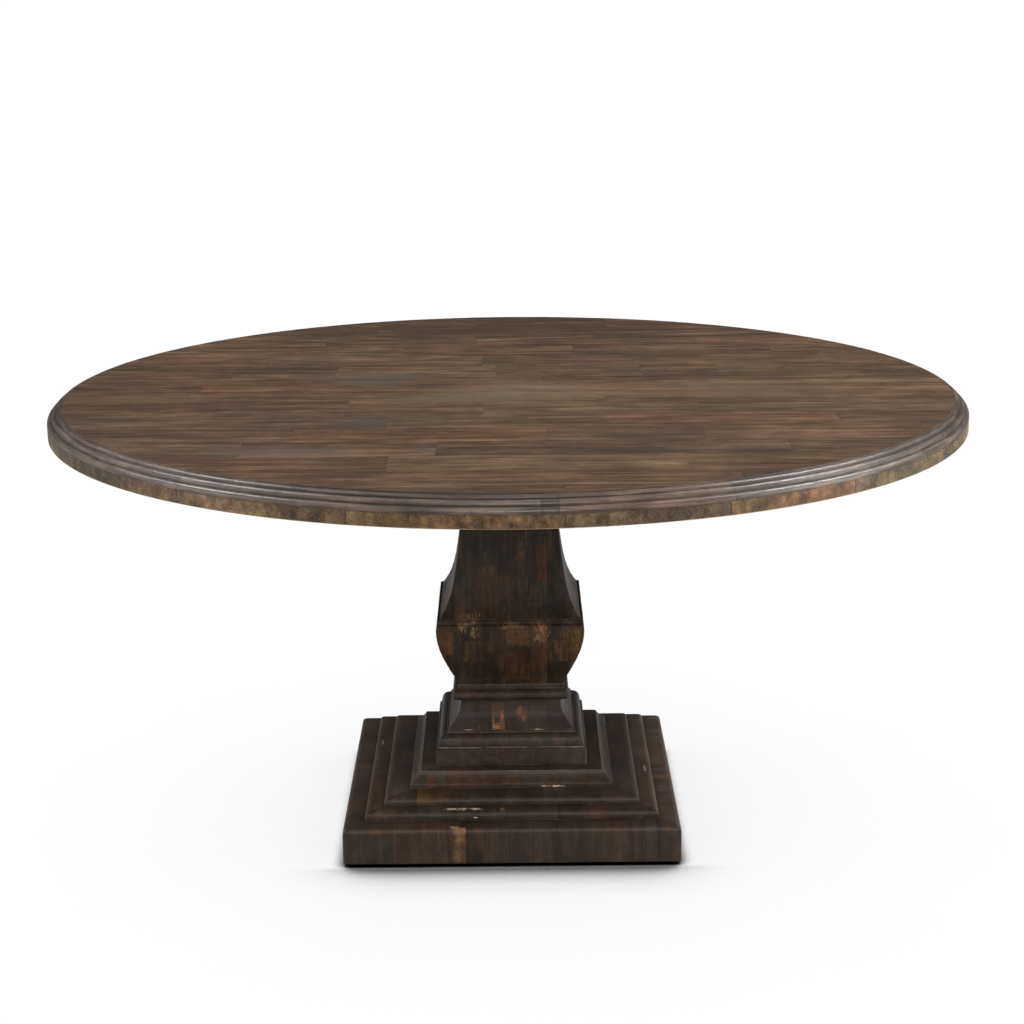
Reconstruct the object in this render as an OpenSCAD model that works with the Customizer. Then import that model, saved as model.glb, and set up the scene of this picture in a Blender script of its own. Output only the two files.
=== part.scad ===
// Round pedestal table: a moulded round top on a square, hollow, moulded
// column and a stepped square base, standing on four screw-in levelling feet.
// Millimetres. +Z is up, the floor is z = 0, and the axis of the column is the
// Z axis. The grain of the top runs along X.

/* [Top] */
// Outside diameter of the top
top_d = 1524; // [1400:1:1600]
// Height of the top's face over the floor
top_z = 745; // [735:1:765]
// Thickness of the glued panel
panel_t = 25; // [24:1:30]
// Radial width of the moulding round the panel
mould_w = 23.4; // [20:0.1:30]
// Depth of the ring of blocks glued under the panel's edge
block_t = 21; // [16:1:24]
// Radial width of the edge blocks
block_w = 62; // [45:1:80]
// Glue line left between neighbouring pieces
glue = 0.2; // [0.1:0.05:0.4]

/* [Under the top] */
// Width of the bearer arms and of the cleats
arm_w = 60; // [50:1:80]
// Depth of the bearer arms
arm_h = 45; // [40:1:55]
// Half length of the bearer arms
arm_l = 640; // [600:5:660]
// Distance of the cleats from the middle of the top
cleat_x = 385; // [340:5:440]
// Distance from the middle of the top to the far ends of the cleats
cleat_l = 520; // [480:5:540]

/* [Column] */
// Thickness of the cap board on the shaft
cap_t = 25; // [22:1:30]
// Half width of the cap board
cap_w = 120; // [112:1:140]
// Half width of the hollow inside the shaft and the bulb
core_w = 62; // [50:1:66]

/* [Stepped base] */
// Half width of the plinth
plinth_w = 278; // [260:1:300]
// Height of the plinth
plinth_h = 62; // [56:1:70]
// Thickness of the plinth rails
rail_t = 38; // [36:1:44]
// Half width of the lower step
low_w = 243; // [241:1:250]
// Half width of the middle step
mid_w = 212.5; // [208:0.5:222]
// Half width of the upper step
up_w = 170; // [165:1:180]

/* [Levelling feet] */
// Gap between the plinth and the floor with the feet screwed in
foot_gap = 5; // [3:0.5:6]
// Distance of each foot from the axis along X and along Y
foot_at = 210; // [205:1:212]
// Diameter of the foot pads
pad_d = 40; // [30:1:50]
// Radius of the screw stems
stem_r = 4; // [3:0.5:5]

/* [Hidden] */

$fn = 48;
top_r = top_d / 2;
panel_z = top_z - panel_t;          // underside of the panel
block_z = panel_z - block_t;        // underside of the edge blocks
arm_z = panel_z - arm_h;            // underside of the bearers
cap_z = arm_z - cap_t;              // underside of the cap board

plinth_z = foot_gap;
low_z = plinth_z + plinth_h;        // 67
mid_z = low_z + 16;                 // 83
up_z = mid_z + 12.5;                // 95.5
block3_z = up_z + 25;               // 120.5
ovolo_z = block3_z + 28.5;          // 149
cove_z = ovolo_z + 24.5;            // 173.5
bead_z = cove_z + 51;               // 224.5
collar_z = bead_z + 18;             // 242.5
bulb_z = collar_z + 9.5;            // 252
rim_z = bulb_z + 115;               // 367
shaft_z = rim_z + 7.5;              // 374.5

deck_t = 18;
deck_w = plinth_w - rail_t;
rod_r = 6;
rod_hole = 6.5;

// bolt places along each bearer, and screw places along each cleat
arm_bolts = [-520, -220, 220, 520];
cleat_screw_y = [-490, -275, -60, 60, 275, 490];
// joints between the edge blocks, in degrees round from the front (-Y)
block_joints = [-80, -60, -38.5, -24.5, -10.3, 5.8, 24, 41, 58, 80, 104, 128,
                152, 176, 202, 228, 254, 280];
bolt_r = 4;
screw_r = 2.25;
insert_r = 6;
insert_l = 15;

c_top = [0.40, 0.33, 0.27];
c_edge = [0.42, 0.34, 0.26];
c_dark = [0.20, 0.17, 0.15];
c_dark2 = [0.23, 0.19, 0.16];
c_raw = [0.62, 0.48, 0.33];
c_steel = [0.65, 0.66, 0.68];
c_pad = [0.08, 0.08, 0.08];

// ---- shape helpers -------------------------------------------------------

// convex quarter round: starts level at [r0, z0] and ends plumb at [r1, z1]
function ovolo(r0, z0, r1, z1, n = 5) =
    [for (i = [0:n]) let (a = 90 * i / n)
        [r0 + (r1 - r0) * sin(a), z1 + (z0 - z1) * cos(a)]];

// hollow curve from [r0, z0] (level) up to [r1, z1] (plumb)
function hollow(r0, z0, r1, z1, n = 6) =
    [for (i = [0:n]) let (a = 90 * i / n)
        [r0 + (r1 - r0) * sin(a), z0 + (z1 - z0) * (1 - cos(a))]];

// square board of half width given by a profile of [half width, z] points,
// listed from the bottom up; the mitred corners come from the crossing
module square_turned(pts) {
    outline = concat(pts, [for (i = [len(pts) - 1:-1:0]) [-pts[i][0], pts[i][1]]]);
    big = max([for (p = pts) p[0]]) + 10;
    intersection() {
        rotate([90, 0, 0]) translate([0, 0, -big]) linear_extrude(2 * big) polygon(outline);
        rotate([0, 0, 90]) rotate([90, 0, 0]) translate([0, 0, -big]) linear_extrude(2 * big) polygon(outline);
    }
}

// four mitred boards with the profile [distance from the axis, z], each one
// its own solid with a glue line at the mitres
module mitred_four(pts) {
    big = max([for (p = pts) p[0]]) + 10;
    for (a = [0:90:270]) rotate([0, 0, a])
        intersection() {
            rotate([90, 0, 90]) translate([0, 0, -big]) linear_extrude(2 * big)
                polygon([for (p = pts) [-p[0], p[1]]]);
            translate([0, 0, -10]) linear_extrude(top_z)
                polygon([[0, -glue / 2 * 1.42], [big, -big - glue / 2 * 1.42], [-big, -big - glue / 2 * 1.42]]);
        }
}

module bore(r, z0, z1) translate([0, 0, z0]) cylinder(r = r, h = z1 - z0);

module hex_head(af, h, z) translate([0, 0, z]) cylinder(r = af / sqrt(3), h = h, $fn = 6);

module at_arm_bolts(long)
    for (p = arm_bolts) translate(long ? [p, 0, 0] : [0, p, 0]) children();

module at_all_bolts() { at_arm_bolts(true) children(); at_arm_bolts(false) children(); }

module at_cleat_screws()
    for (x = [-cleat_x, cleat_x], y = cleat_screw_y) translate([x, y, 0]) children();

module at_feet()
    for (x = [-foot_at, foot_at], y = [-foot_at, foot_at]) translate([x, y, 0]) children();

module at_cap_screws()
    for (a = [0:90:270]) rotate([0, 0, a]) translate([100, 0, 0]) children();

// ---- top -----------------------------------------------------------------

// three small convex steps worked on the panel's edge
function edge_profile() = let (r = top_r, k = mould_w / 23.4, z = top_z)
    concat([[r - mould_w, z], [r - mould_w, z - 1.5]],
           ovolo(r - 22.6 * k, z - 1.5, r - 15.6 * k, z - 6.2),
           [[r - 15.6 * k, z - 7.4]],
           ovolo(r - 15.0 * k, z - 7.4, r - 7.8 * k, z - 14.4),
           [[r - 7.8 * k, z - 15.8]],
           ovolo(r - 7.2 * k, z - 15.8, r, z - 23.2));

module top_panel() {
    color(c_top) difference() {
        rotate_extrude($fn = 180) polygon(concat([[0, panel_z], [0, top_z]],
            edge_profile(), [[top_r, panel_z]]));
        at_all_bolts() bore(insert_r + 0.05, panel_z - 1, panel_z + insert_l + 0.5);
        at_cleat_screws() bore(screw_r + 0.05, panel_z - 1, panel_z + 14.5);
    }
}

// each block is rounded outside and left straight inside; their lengths vary
module edge_blocks() {
    gap = glue / 2 / (top_r - block_w) * 57.3;
    color(c_edge) for (i = [0:len(block_joints) - 2])
        let (a = block_joints[i] - 90 + gap, b = block_joints[i + 1] - 90 - gap,
             inner = (top_r - block_w - 8) / cos((b - a) / 2))
        intersection() {
            translate([0, 0, block_z]) cylinder(r = top_r, h = block_t, $fn = 180);
            translate([0, 0, block_z - 2]) linear_extrude(block_t + 4)
                polygon([[inner * cos(a), inner * sin(a)], [1000 * cos(a), 1000 * sin(a)],
                    [1000 * cos(b), 1000 * sin(b)], [inner * cos(b), inner * sin(b)]]);
        }
}

// four cleats across the grain, which stop on each side of the long bearer
module top_cleats() {
    near = arm_w / 2 + 1;
    color(c_raw) for (s = [-1, 1], t = [-1, 1]) translate([s * cleat_x, 0, 0]) difference() {
        translate([-arm_w / 2, t > 0 ? near : -cleat_l, block_z])
            cube([arm_w, cleat_l - near, block_t]);
        for (y = cleat_screw_y) if (y * t > 0) translate([0, y, 0]) {
            bore(screw_r + 0.05, block_z - 1, panel_z + 1);
            translate([0, 0, block_z - 0.01]) cylinder(r1 = 4.6, r2 = screw_r + 0.05, h = 2.6);
        }
    }
}

module cleat_screws() {
    color(c_steel) at_cleat_screws() {
        bore(screw_r, block_z + 0.2, panel_z + 14);
        translate([0, 0, block_z + 0.2]) cylinder(r1 = 4.3, r2 = screw_r, h = 2.2);
    }
}

module threaded_inserts() {
    color([0.78, 0.62, 0.30]) at_all_bolts() difference() {
        bore(insert_r, panel_z, panel_z + insert_l);
        bore(bolt_r + 0.05, panel_z - 1, panel_z + insert_l + 1);
    }
}

module top_bolts() {
    color(c_steel) at_all_bolts() {
        hex_head(13, 5.3, arm_z - 1.6 - 5.3);
        bore(bolt_r, arm_z - 1.7, panel_z + 13);
    }
}

module bolt_washers() {
    color(c_steel) at_all_bolts() difference() {
        bore(10, arm_z - 1.6, arm_z);
        bore(bolt_r + 0.2, arm_z - 3, arm_z + 1);
    }
}

// one arm along X, with its ends sloped up from below
module arm() {
    rotate([90, 0, 0]) translate([0, 0, -arm_w / 2]) linear_extrude(arm_w)
        polygon([[-arm_l, panel_z], [arm_l, panel_z], [arm_l, panel_z - 18],
                 [arm_l - 80, arm_z], [80 - arm_l, arm_z], [-arm_l, panel_z - 18]]);
}

// the two arms cross in a half lap: the long one keeps its lower half there
module bearer_long() {
    color(c_raw) difference() {
        arm();
        translate([-arm_w / 2, -arm_w, arm_z + arm_h / 2]) cube([arm_w, 2 * arm_w, arm_h]);
        at_arm_bolts(true) bore(bolt_r + 0.5, arm_z - 1, panel_z + 1);
        for (s = [-1, 1]) translate([100 * s, 0, 0]) bore(bolt_r + 0.05, arm_z - 1, arm_z + 25.5);
    }
}

module bearer_cross() {
    color(c_raw) difference() {
        rotate([0, 0, 90]) arm();
        translate([-arm_w, -arm_w / 2, arm_z - arm_h / 2]) cube([2 * arm_w, arm_w, arm_h]);
        at_arm_bolts(false) bore(bolt_r + 0.5, arm_z - 1, panel_z + 1);
        for (s = [-1, 1]) translate([0, 100 * s, 0]) bore(bolt_r + 0.05, arm_z - 1, arm_z + 25.5);
    }
}

// ---- column --------------------------------------------------------------

module column_cap() {
    color(c_dark) difference() {
        square_turned([[cap_w - 8, cap_z], [cap_w, cap_z + 8], [cap_w, arm_z]]);
        bore(rod_hole, cap_z - 1, arm_z + 1);
        bore(16, arm_z - 13, arm_z + 1);
        at_cap_screws() bore(bolt_r + 0.5, cap_z - 1, arm_z + 1);
    }
}

module cap_lag_screws() {
    color(c_steel) at_cap_screws() {
        hex_head(13, 5.3, cap_z - 5.3);
        bore(bolt_r, cap_z - 0.1, arm_z + 25);
    }
}

// flare of the shaft: broad on the rim, slim neck, and broader under the cap
shaft_out = [[118.5, 0], [112.5, 9], [107, 19], [102, 31], [97.5, 45],
             [93.7, 62], [90.5, 82], [87.5, 103], [85, 126], [82.8, 148],
             [81, 175], [80.5, 200], [81.5, 225], [84.5, 248], [90, 266]];

module shaft_boards() {
    h = cap_z - shaft_z;
    color(c_dark) mitred_four(concat([[core_w, shaft_z]],
        [for (p = shaft_out) [p[0], shaft_z + p[1]]],
        [[90, cap_z], [core_w, cap_z]]));
}

module rim_board() {
    color(c_dark2) difference() {
        square_turned([[121.5, rim_z], [122.5, rim_z + 1.5], [122.5, rim_z + 6], [121.5, shaft_z]]);
        bore(rod_hole, rim_z - 1, shaft_z + 1);
    }
}

bulb_out = [[89.3, 0], [91.5, 6], [95, 15.5], [100.8, 26.5], [107, 40], [113, 54],
            [118.5, 69], [122, 83], [123.8, 95], [124.3, 105], [123.2, 115]];

module bulb_boards() {
    color(c_dark) mitred_four(concat([[core_w, bulb_z]],
        [for (p = bulb_out) [p[0], bulb_z + p[1]]], [[core_w, rim_z]]));
}

module neck_collar() {
    color(c_dark2) difference() {
        square_turned([[88, collar_z], [88, collar_z + 2], [90.5, collar_z + 2.6],
            [90.5, collar_z + 8], [89.8, collar_z + 9.5]]);
        bore(rod_hole, collar_z - 1, bulb_z + 1);
    }
}

module neck_bead() {
    r = 8.5; zc = bead_z + 9;
    color(c_dark) difference() {
        square_turned(concat([[85, bead_z], [90, bead_z + 0.5]],
            [for (a = [-75:15:75]) [90 + r * cos(a), zc + r * sin(a)]],
            [[90, collar_z - 0.5], [88, collar_z]]));
        bore(rod_hole, bead_z - 1, collar_z + 1);
    }
}

module cove_foot() {
    color(c_dark) difference() {
        square_turned(concat([[106.5, cove_z], [106.5, cove_z + 3.5]],
            [[104, cove_z + 5.8], [98, cove_z + 13], [92, cove_z + 21], [88, cove_z + 29.5],
             [85.9, cove_z + 38], [85, cove_z + 44], [85, bead_z]]));
        bore(rod_hole, cove_z - 1, bead_z + 1);
    }
}

module ovolo_moulding() {
    color(c_dark) difference() {
        square_turned(concat([[124.3, ovolo_z], [124, ovolo_z + 3]],
            [for (i = [1:5]) let (a = 90 * i / 5)
                [109.5 + 14 * cos(a), ovolo_z + 3 + 20 * sin(a)]],
            [[109.5, cove_z]]));
        bore(rod_hole, ovolo_z - 1, cove_z + 1);
    }
}

module foot_block() {
    color(c_dark2) difference() {
        square_turned([[127.5, block3_z], [127.5, ovolo_z - 1.5], [126, ovolo_z]]);
        bore(rod_hole, block3_z - 1, ovolo_z + 1);
    }
}

// ---- stepped base ----------------------------------------------------------

module upper_step() {
    color(c_dark) difference() {
        square_turned([[up_w, up_z], [up_w, up_z + 7], [up_w - 1.5, up_z + 8.6],
            [up_w - 6, up_z + 12], [up_w - 10.5, up_z + 15.6],
            [up_w - 14, up_z + 19.6], [up_w - 16, up_z + 23.2], [up_w - 16.7, block3_z]]);
        bore(rod_hole, up_z - 1, block3_z + 1);
    }
}

module middle_step() {
    color(c_dark) difference() {
        square_turned(concat([[mid_w, mid_z], [mid_w, mid_z + 3]],
            [for (i = [1:5]) let (a = 90 * i / 5)
                [mid_w - 11 + 11 * cos(a), mid_z + 3 + 9.5 * sin(a)]]));
        bore(rod_hole, mid_z - 1, up_z + 1);
    }
}

module lower_step() {
    color(c_dark) difference() {
        square_turned(concat([[low_w, low_z], [low_w, low_z + 5.5]],
            [for (i = [1:5]) let (a = 90 * i / 5)
                [low_w - 11 + 11 * cos(a), low_z + 5.5 + 10.5 * sin(a)]]));
        bore(rod_hole, low_z - 1, mid_z + 1);
    }
}

module plinth_rails() {
    color(c_dark) mitred_four(concat(
        [[deck_w, plinth_z], [plinth_w - 2.5, plinth_z], [plinth_w, plinth_z + 2.5]],
        [for (i = [0:5]) let (a = 90 * i / 5)
            [plinth_w - 9 + 9 * cos(a), low_z - 9 + 9 * sin(a)]],
        [[deck_w, low_z]]));
}

module plinth_deck() {
    color(c_raw) difference() {
        translate([-deck_w, -deck_w, low_z - deck_t]) cube([2 * deck_w, 2 * deck_w, deck_t]);
        bore(rod_hole, low_z - deck_t - 1, low_z + 1);
    }
}

// ---- tie rod, which clamps the base, the column and the cap together -------

module tie_rod() color(c_steel) bore(rod_r, low_z - deck_t - 16, arm_z - 0.5);

module tie_nuts() {
    color(c_steel) for (z = [low_z - deck_t - 12, arm_z - 11]) difference() {
        hex_head(19, 10, z);
        bore(rod_r + 0.05, z - 1, z + 11);
    }
}

module tie_washers() {
    color(c_steel) {
        difference() { bore(20, low_z - deck_t - 2, low_z - deck_t); bore(rod_hole, 0, low_z); }
        difference() { bore(14, arm_z - 13, arm_z - 11); bore(rod_hole, cap_z, arm_z); }
    }
}

// ---- levelling feet --------------------------------------------------------

foot_block_z = 14;
foot_block_w = 30;

module corner_blocks() {
    color(c_raw) at_feet() difference() {
        translate([-foot_block_w, -foot_block_w, foot_block_z])
            cube([2 * foot_block_w, 2 * foot_block_w, low_z - deck_t - foot_block_z]);
        bore(stem_r + 1.55, foot_block_z - 1, foot_block_z + 12);
        bore(stem_r + 0.5, foot_block_z + 11, low_z - deck_t - 1.5);
    }
}

module tee_nuts() {
    color(c_steel) at_feet() difference() {
        union() {
            bore(11, foot_block_z - 1.6, foot_block_z);
            bore(stem_r + 1.5, foot_block_z - 0.1, foot_block_z + 12);
        }
        bore(stem_r + 0.05, foot_block_z - 3, foot_block_z + 13);
    }
}

module foot_pad(x, y) {
    color(c_pad) translate([x, y, 0]) difference() {
        rotate_extrude() polygon([[0, 0], [pad_d / 2 - 1, 0], [pad_d / 2, 1],
            [pad_d / 2, 4], [pad_d / 2 - 2, 6], [0, 6]]);
        bore(stem_r - 1 + 0.05, 2, 7);
    }
}

module foot_stem(x, y) {
    color(c_steel) translate([x, y, 0]) {
        bore(stem_r - 1, 2.1, 6.4);
        hex_head(13, 5.6, 6.4);
        bore(stem_r, 11.9, 45);
    }
}

module foot_pad_fl() foot_pad(-foot_at, -foot_at);
module foot_pad_fr() foot_pad(foot_at, -foot_at);
module foot_pad_bl() foot_pad(-foot_at, foot_at);
module foot_pad_br() foot_pad(foot_at, foot_at);
module foot_stem_fl() foot_stem(-foot_at, -foot_at);
module foot_stem_fr() foot_stem(foot_at, -foot_at);
module foot_stem_bl() foot_stem(-foot_at, foot_at);
module foot_stem_br() foot_stem(foot_at, foot_at);

top_panel();
edge_blocks();
top_cleats();
cleat_screws();
threaded_inserts();
top_bolts();
bolt_washers();
bearer_long();
bearer_cross();
column_cap();
cap_lag_screws();
shaft_boards();
rim_board();
bulb_boards();
neck_collar();
neck_bead();
cove_foot();
ovolo_moulding();
foot_block();
upper_step();
middle_step();
lower_step();
plinth_rails();
plinth_deck();
corner_blocks();
tie_rod();
tie_nuts();
tie_washers();
tee_nuts();
foot_pad_fl();
foot_pad_fr();
foot_pad_bl();
foot_pad_br();
foot_stem_fl();
foot_stem_fr();
foot_stem_bl();
foot_stem_br();
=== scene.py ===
"""Looks of the round pedestal table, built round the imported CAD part. Metres, Z up."""
import math
import random

import bmesh
import bpy
import numpy as np
from mathutils import Matrix, Vector


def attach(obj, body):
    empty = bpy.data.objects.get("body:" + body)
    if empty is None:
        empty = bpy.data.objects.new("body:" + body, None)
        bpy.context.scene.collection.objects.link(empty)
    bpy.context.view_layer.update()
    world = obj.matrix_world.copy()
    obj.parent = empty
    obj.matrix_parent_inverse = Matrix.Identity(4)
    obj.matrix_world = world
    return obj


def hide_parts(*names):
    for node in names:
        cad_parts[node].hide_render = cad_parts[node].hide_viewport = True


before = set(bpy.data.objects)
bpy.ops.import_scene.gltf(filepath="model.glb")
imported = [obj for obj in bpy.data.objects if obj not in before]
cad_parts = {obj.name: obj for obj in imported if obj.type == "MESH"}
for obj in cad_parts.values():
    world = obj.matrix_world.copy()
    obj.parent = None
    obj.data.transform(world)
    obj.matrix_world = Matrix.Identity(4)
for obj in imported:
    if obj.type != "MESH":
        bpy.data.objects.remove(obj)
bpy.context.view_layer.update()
MM = 0.001


# ------------------------------------------------------------------ noise
def vnoise(p, seed=0):
    """Smooth value noise in -1..1 at the rows of p."""
    p = np.asarray(p, float)
    i = np.floor(p).astype(np.int64)
    f = p - i
    u = f * f * (3 - 2 * f)

    def h(a, b, c):
        n = ((i[:, 0] + a) * 73856093) ^ ((i[:, 1] + b) * 19349663) ^ ((i[:, 2] + c) * 83492791) ^ (seed * 971)
        n &= 0xFFFFFFFF
        n = ((n ^ (n >> 13)) * 1274126177) & 0xFFFFFFFF
        n = (n ^ (n >> 16)) & 0xFFFF
        return n / 32767.5 - 1.0

    x0 = h(0, 0, 0) * (1 - u[:, 0]) + h(1, 0, 0) * u[:, 0]
    x1 = h(0, 1, 0) * (1 - u[:, 0]) + h(1, 1, 0) * u[:, 0]
    x2 = h(0, 0, 1) * (1 - u[:, 0]) + h(1, 0, 1) * u[:, 0]
    x3 = h(0, 1, 1) * (1 - u[:, 0]) + h(1, 1, 1) * u[:, 0]
    y0 = x0 * (1 - u[:, 1]) + x1 * u[:, 1]
    y1 = x2 * (1 - u[:, 1]) + x3 * u[:, 1]
    return y0 * (1 - u[:, 2]) + y1 * u[:, 2]


# ------------------------------------------------------- profile handling
def refine(pts, r_vex=0.9, r_cave=0.4, step=5.0):
    """Rounds the corners of an open profile and adds points near them.
    Returns rows (w, z, nw, nz, wear, cav), bottom to top, in mm."""
    pts = [np.array(p, float) for p in pts]
    out, vex, cave = [pts[0]], [], []
    for a, b, c in zip(pts, pts[1:], pts[2:]):
        d1, d2 = b - a, c - b
        l1, l2 = np.hypot(*d1), np.hypot(*d2)
        d1, d2 = d1 / l1, d2 / l2
        turn = math.atan2(d1[0] * d2[1] - d1[1] * d2[0], d1 @ d2)
        if abs(turn) < math.radians(14):
            out.append(b)
            continue
        r = (r_vex if turn > 0 else r_cave) * min(1.0, abs(turn) / 1.2 + 0.25)
        d = min(r * math.tan(abs(turn) / 2), 0.4 * l1, 0.4 * l2)
        p, q = b - d1 * d, b + d2 * d
        m = 0.25 * p + 0.5 * b + 0.25 * q
        out += [p, m, q]
        (vex if turn > 0 else cave).append((m, min(1.0, abs(turn) / 1.3)))
    out.append(pts[-1])
    rows = [out[0]]
    for a, b in zip(out, out[1:]):
        ln = np.hypot(*(b - a))
        if ln < 1e-6:
            continue
        ds = [d for d in (1.4, 3.6) if d < ln * 0.45]
        ds = ds + [ln - d for d in ds]
        n = int(ln // step)
        ds += [ln * k / (n + 1) for k in range(1, n + 1)]
        ds = sorted(ds)
        keep = []
        for d in ds:
            if d > 0.9 and d < ln - 0.9 and (not keep or d - keep[-1] > 0.9):
                keep.append(d)
        rows += [a + (b - a) * d / ln for d in keep] + [b]
    rows = np.array(rows)
    t = np.zeros_like(rows)
    t[1:-1] = rows[2:] - rows[:-2]
    t[0], t[-1] = rows[1] - rows[0], rows[-1] - rows[-2]
    t /= np.maximum(np.hypot(t[:, 0], t[:, 1]), 1e-9)[:, None]
    nrm = np.stack([t[:, 1], -t[:, 0]], 1)
    wear = np.zeros(len(rows))
    cav = np.zeros(len(rows))
    for m, k in vex:
        d = np.hypot(*(rows - m).T)
        wear = np.maximum(wear, k * np.exp(-d / 1.5))
    # cav: painted shade, with some glaze, in the concave corners
    for m, k in cave:
        d = np.hypot(*(rows - m).T)
        cav = np.maximum(cav, k * np.exp(-d / 2.4))
    return np.column_stack([rows, nrm, wear, cav])


def new_object(name, verts, faces, attrs_face, attrs_point, mat, sharp=38):
    me = bpy.data.meshes.new(name)
    me.from_pydata([tuple(v) for v in verts], [], faces)
    me.update()
    for k, (kind, arr) in attrs_face.items():
        put(me, k, kind, "FACE", arr)
    for k, (kind, arr) in attrs_point.items():
        put(me, k, kind, "POINT", arr)
    me.shade_smooth()
    me.set_sharp_from_angle(angle=math.radians(sharp))
    ob = bpy.data.objects.new(name, me)
    bpy.context.scene.collection.objects.link(ob)
    me.materials.append(mat)
    return ob


def put(me, name, kind, domain, arr):
    a = me.attributes.new(name, kind, domain)
    arr = np.asarray(arr, np.float32)
    key = {"FLOAT": "value", "FLOAT_VECTOR": "vector", "FLOAT_COLOR": "color"}[kind]
    a.data.foreach_set(key, arr.ravel())


# ---------------------------------------------------------- stave colours
TINTS = {
    "n": (1.00, 1.00, 1.00), "d": (0.66, 0.66, 0.68), "dd": (0.48, 0.48, 0.50),
    "l": (1.28, 1.24, 1.18), "r": (1.26, 0.92, 0.84), "o": (1.75, 1.22, 0.72),
    "y": (2.1, 1.60, 0.95), "g": (0.92, 1.04, 0.92), "k": (0.95, 1.0, 1.1),
    "R": (1.65, 0.95, 0.80), "b": (1.12, 1.0, 0.86),
}


def stave_rng(seed):
    return random.Random(seed * 7919 + 13)


def random_staves(w, seed, lo=28, hi=52, keys="nnndlrgkbnd"):
    """Stave joints and tint keys across -w..w, in mm."""
    r = stave_rng(seed)
    x = -w - r.uniform(0, 20)
    xs, ks = [], []
    while x < w:
        x2 = x + r.uniform(lo, hi)
        xs.append(x2)
        ks.append(r.choice(keys))
        x = x2
    return [x for x in xs[:-1] if x < w - 6], ks


# ------------------------------------------------- square turned boards
def square_board(name, pts, inner, mat, staves, grain="y", rc=1.8, amp=0.16, seed=1,
                 col_step=8.0, cav_low=0.0, cav_high=0.0, step=5.0, chip=0.5, r_vex=0.9, patches=(), soft=0.6, arris=0.62, patch_soft=0.7,
                 gain=(1.0, 1.0, 1.0, 1.0)):
    """A square moulded board: four sides with the profile pts, worn arrises, a hollow of
    half width inner. staves: [(joints, tint keys)] for front, right, back, left."""
    rows = refine(pts, r_vex=r_vex, step=step)
    zb, zt = rows[0, 1], rows[-1, 1]
    # painted shade, with some glaze, in the corners where this board meets its neighbours
    ln = np.r_[0, np.cumsum(np.hypot(*np.diff(rows[:, :2], axis=0).T))]
    if cav_low:
        rows[:, 5] = np.maximum(rows[:, 5], np.exp(-ln / cav_low))
    if cav_high:
        rows[:, 5] = np.maximum(rows[:, 5], np.exp(-(ln[-1] - ln) / cav_high))
    hidden = [(inner, zt, -1, 0, 0, 1), (inner, zb, -1, 0, 0, 1)]
    rows = np.vstack([rows, hidden])
    wmax = rows[:, 0].max()
    V, wearv, cavv, gc = [], [], [], []
    F, tint, seedf, sb = [], [], [], []
    rng = stave_rng(seed + 500)
    side_info = []
    for k in range(4):
        joints, keys = staves[k]
        cols = set()
        edges = [-wmax] + list(joints) + [wmax]
        for a, b in zip(edges, edges[1:]):
            n = max(1, int(round((b - a) / col_step)))
            cols |= {round(a + (b - a) * i / n, 3) for i in range(1, n + 1)}
        cols |= {v for q in patches if q[0] == k for v in q[1:3]}
        cols = sorted(c for c in cols if abs(c) < wmax - 6)
        seeds = [rng.random() for _ in range(len(joints) + 1)]
        tj = [np.array(TINTS[keys[i % len(keys)]]) ** soft * rng.uniform(0.93, 1.07) for i in range(len(joints) + 1)]
        side_info.append((joints, cols, seeds, tj))
    index = []          # per row, per side: list of vertex ids for cols L0 L1 L2 .. R2 R1 R0
    arcs = []           # per row, per corner: two vertex ids
    for w, z, nw, nz, we, ca in rows:
        r = min(rc, w * 0.2)
        f = w - r
        per_side, per_arc = [], []
        for k in range(4):
            cols = side_info[k][1]
            ids = []
            near = [-f, -f + 1.4, -f + 3.8]
            far = [f - 3.8, f - 1.4, f]

            def add(s, extra=0.0):
                if k == 0:
                    p = (s, -w, z); n = (0, -nw, nz)
                elif k == 1:
                    p = (w, s, z); n = (nw, 0, nz)
                elif k == 2:
                    p = (-s, w, z); n = (0, nw, nz)
                else:
                    p = (-w, -s, z); n = (-nw, 0, nz)
                d = f - abs(s)
                V.append(p + n)
                wearv.append(max(we, arris * min(1.0, max(nw, 0) * 1.3) * math.exp(-max(d, 0) / 1.5)))
                cavv.append(ca)
                return len(V) - 1

            left = [add(s) for s in near]
            mid = []
            for c in cols:
                mid.append(add(c) if abs(c) < f - 5.0 else (left[2] if c < 0 else None))
            right = [add(s) for s in far]
            mid = [right[0] if m is None else m for m in mid]
            ids = left + mid + right
            per_side.append(ids)
            q = r
            for t in (30, 60):
                a = math.radians(t)
                # corner between side k and k+1
                ex, ey = f + r * math.sin(a), -(f + r * math.cos(a))
                nx, ny = math.sin(a), -math.cos(a)
                for _ in range(k):
                    ex, ey = -ey, ex
                    nx, ny = -ny, nx
                V.append((ex, ey, z, nx * nw, ny * nw, nz))
                wearv.append(max(we, arris * min(1.0, max(nw, 0) * 1.3)))
                cavv.append(ca)
                per_arc.append(len(V) - 1)
        index.append(per_side)
        arcs.append(per_arc)
    V = np.array(V)
    nr = len(rows)
    for i in range(nr):
        j = (i + 1) % nr
        for k in range(4):
            joints, cols, seeds, tj = side_info[k]
            A, B = index[i][k], index[j][k]
            # strips on the side, then the corner
            nxt = (k + 1) % 4
            A2 = A + [arcs[i][2 * k], arcs[i][2 * k + 1], index[i][nxt][0]]
            B2 = B + [arcs[j][2 * k], arcs[j][2 * k + 1], index[j][nxt][0]]
            for c in range(len(A2) - 1):
                q = []
                for v in (A2[c], A2[c + 1], B2[c + 1], B2[c]):
                    if v not in q:
                        q.append(v)
                if len(q) < 3:
                    continue
                F.append(q)
                cen = V[q, :3].mean(0)
                s = (cen[0], cen[1], -cen[0], -cen[1])[k]
                if grain == "y" and k in (1, 3):
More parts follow.
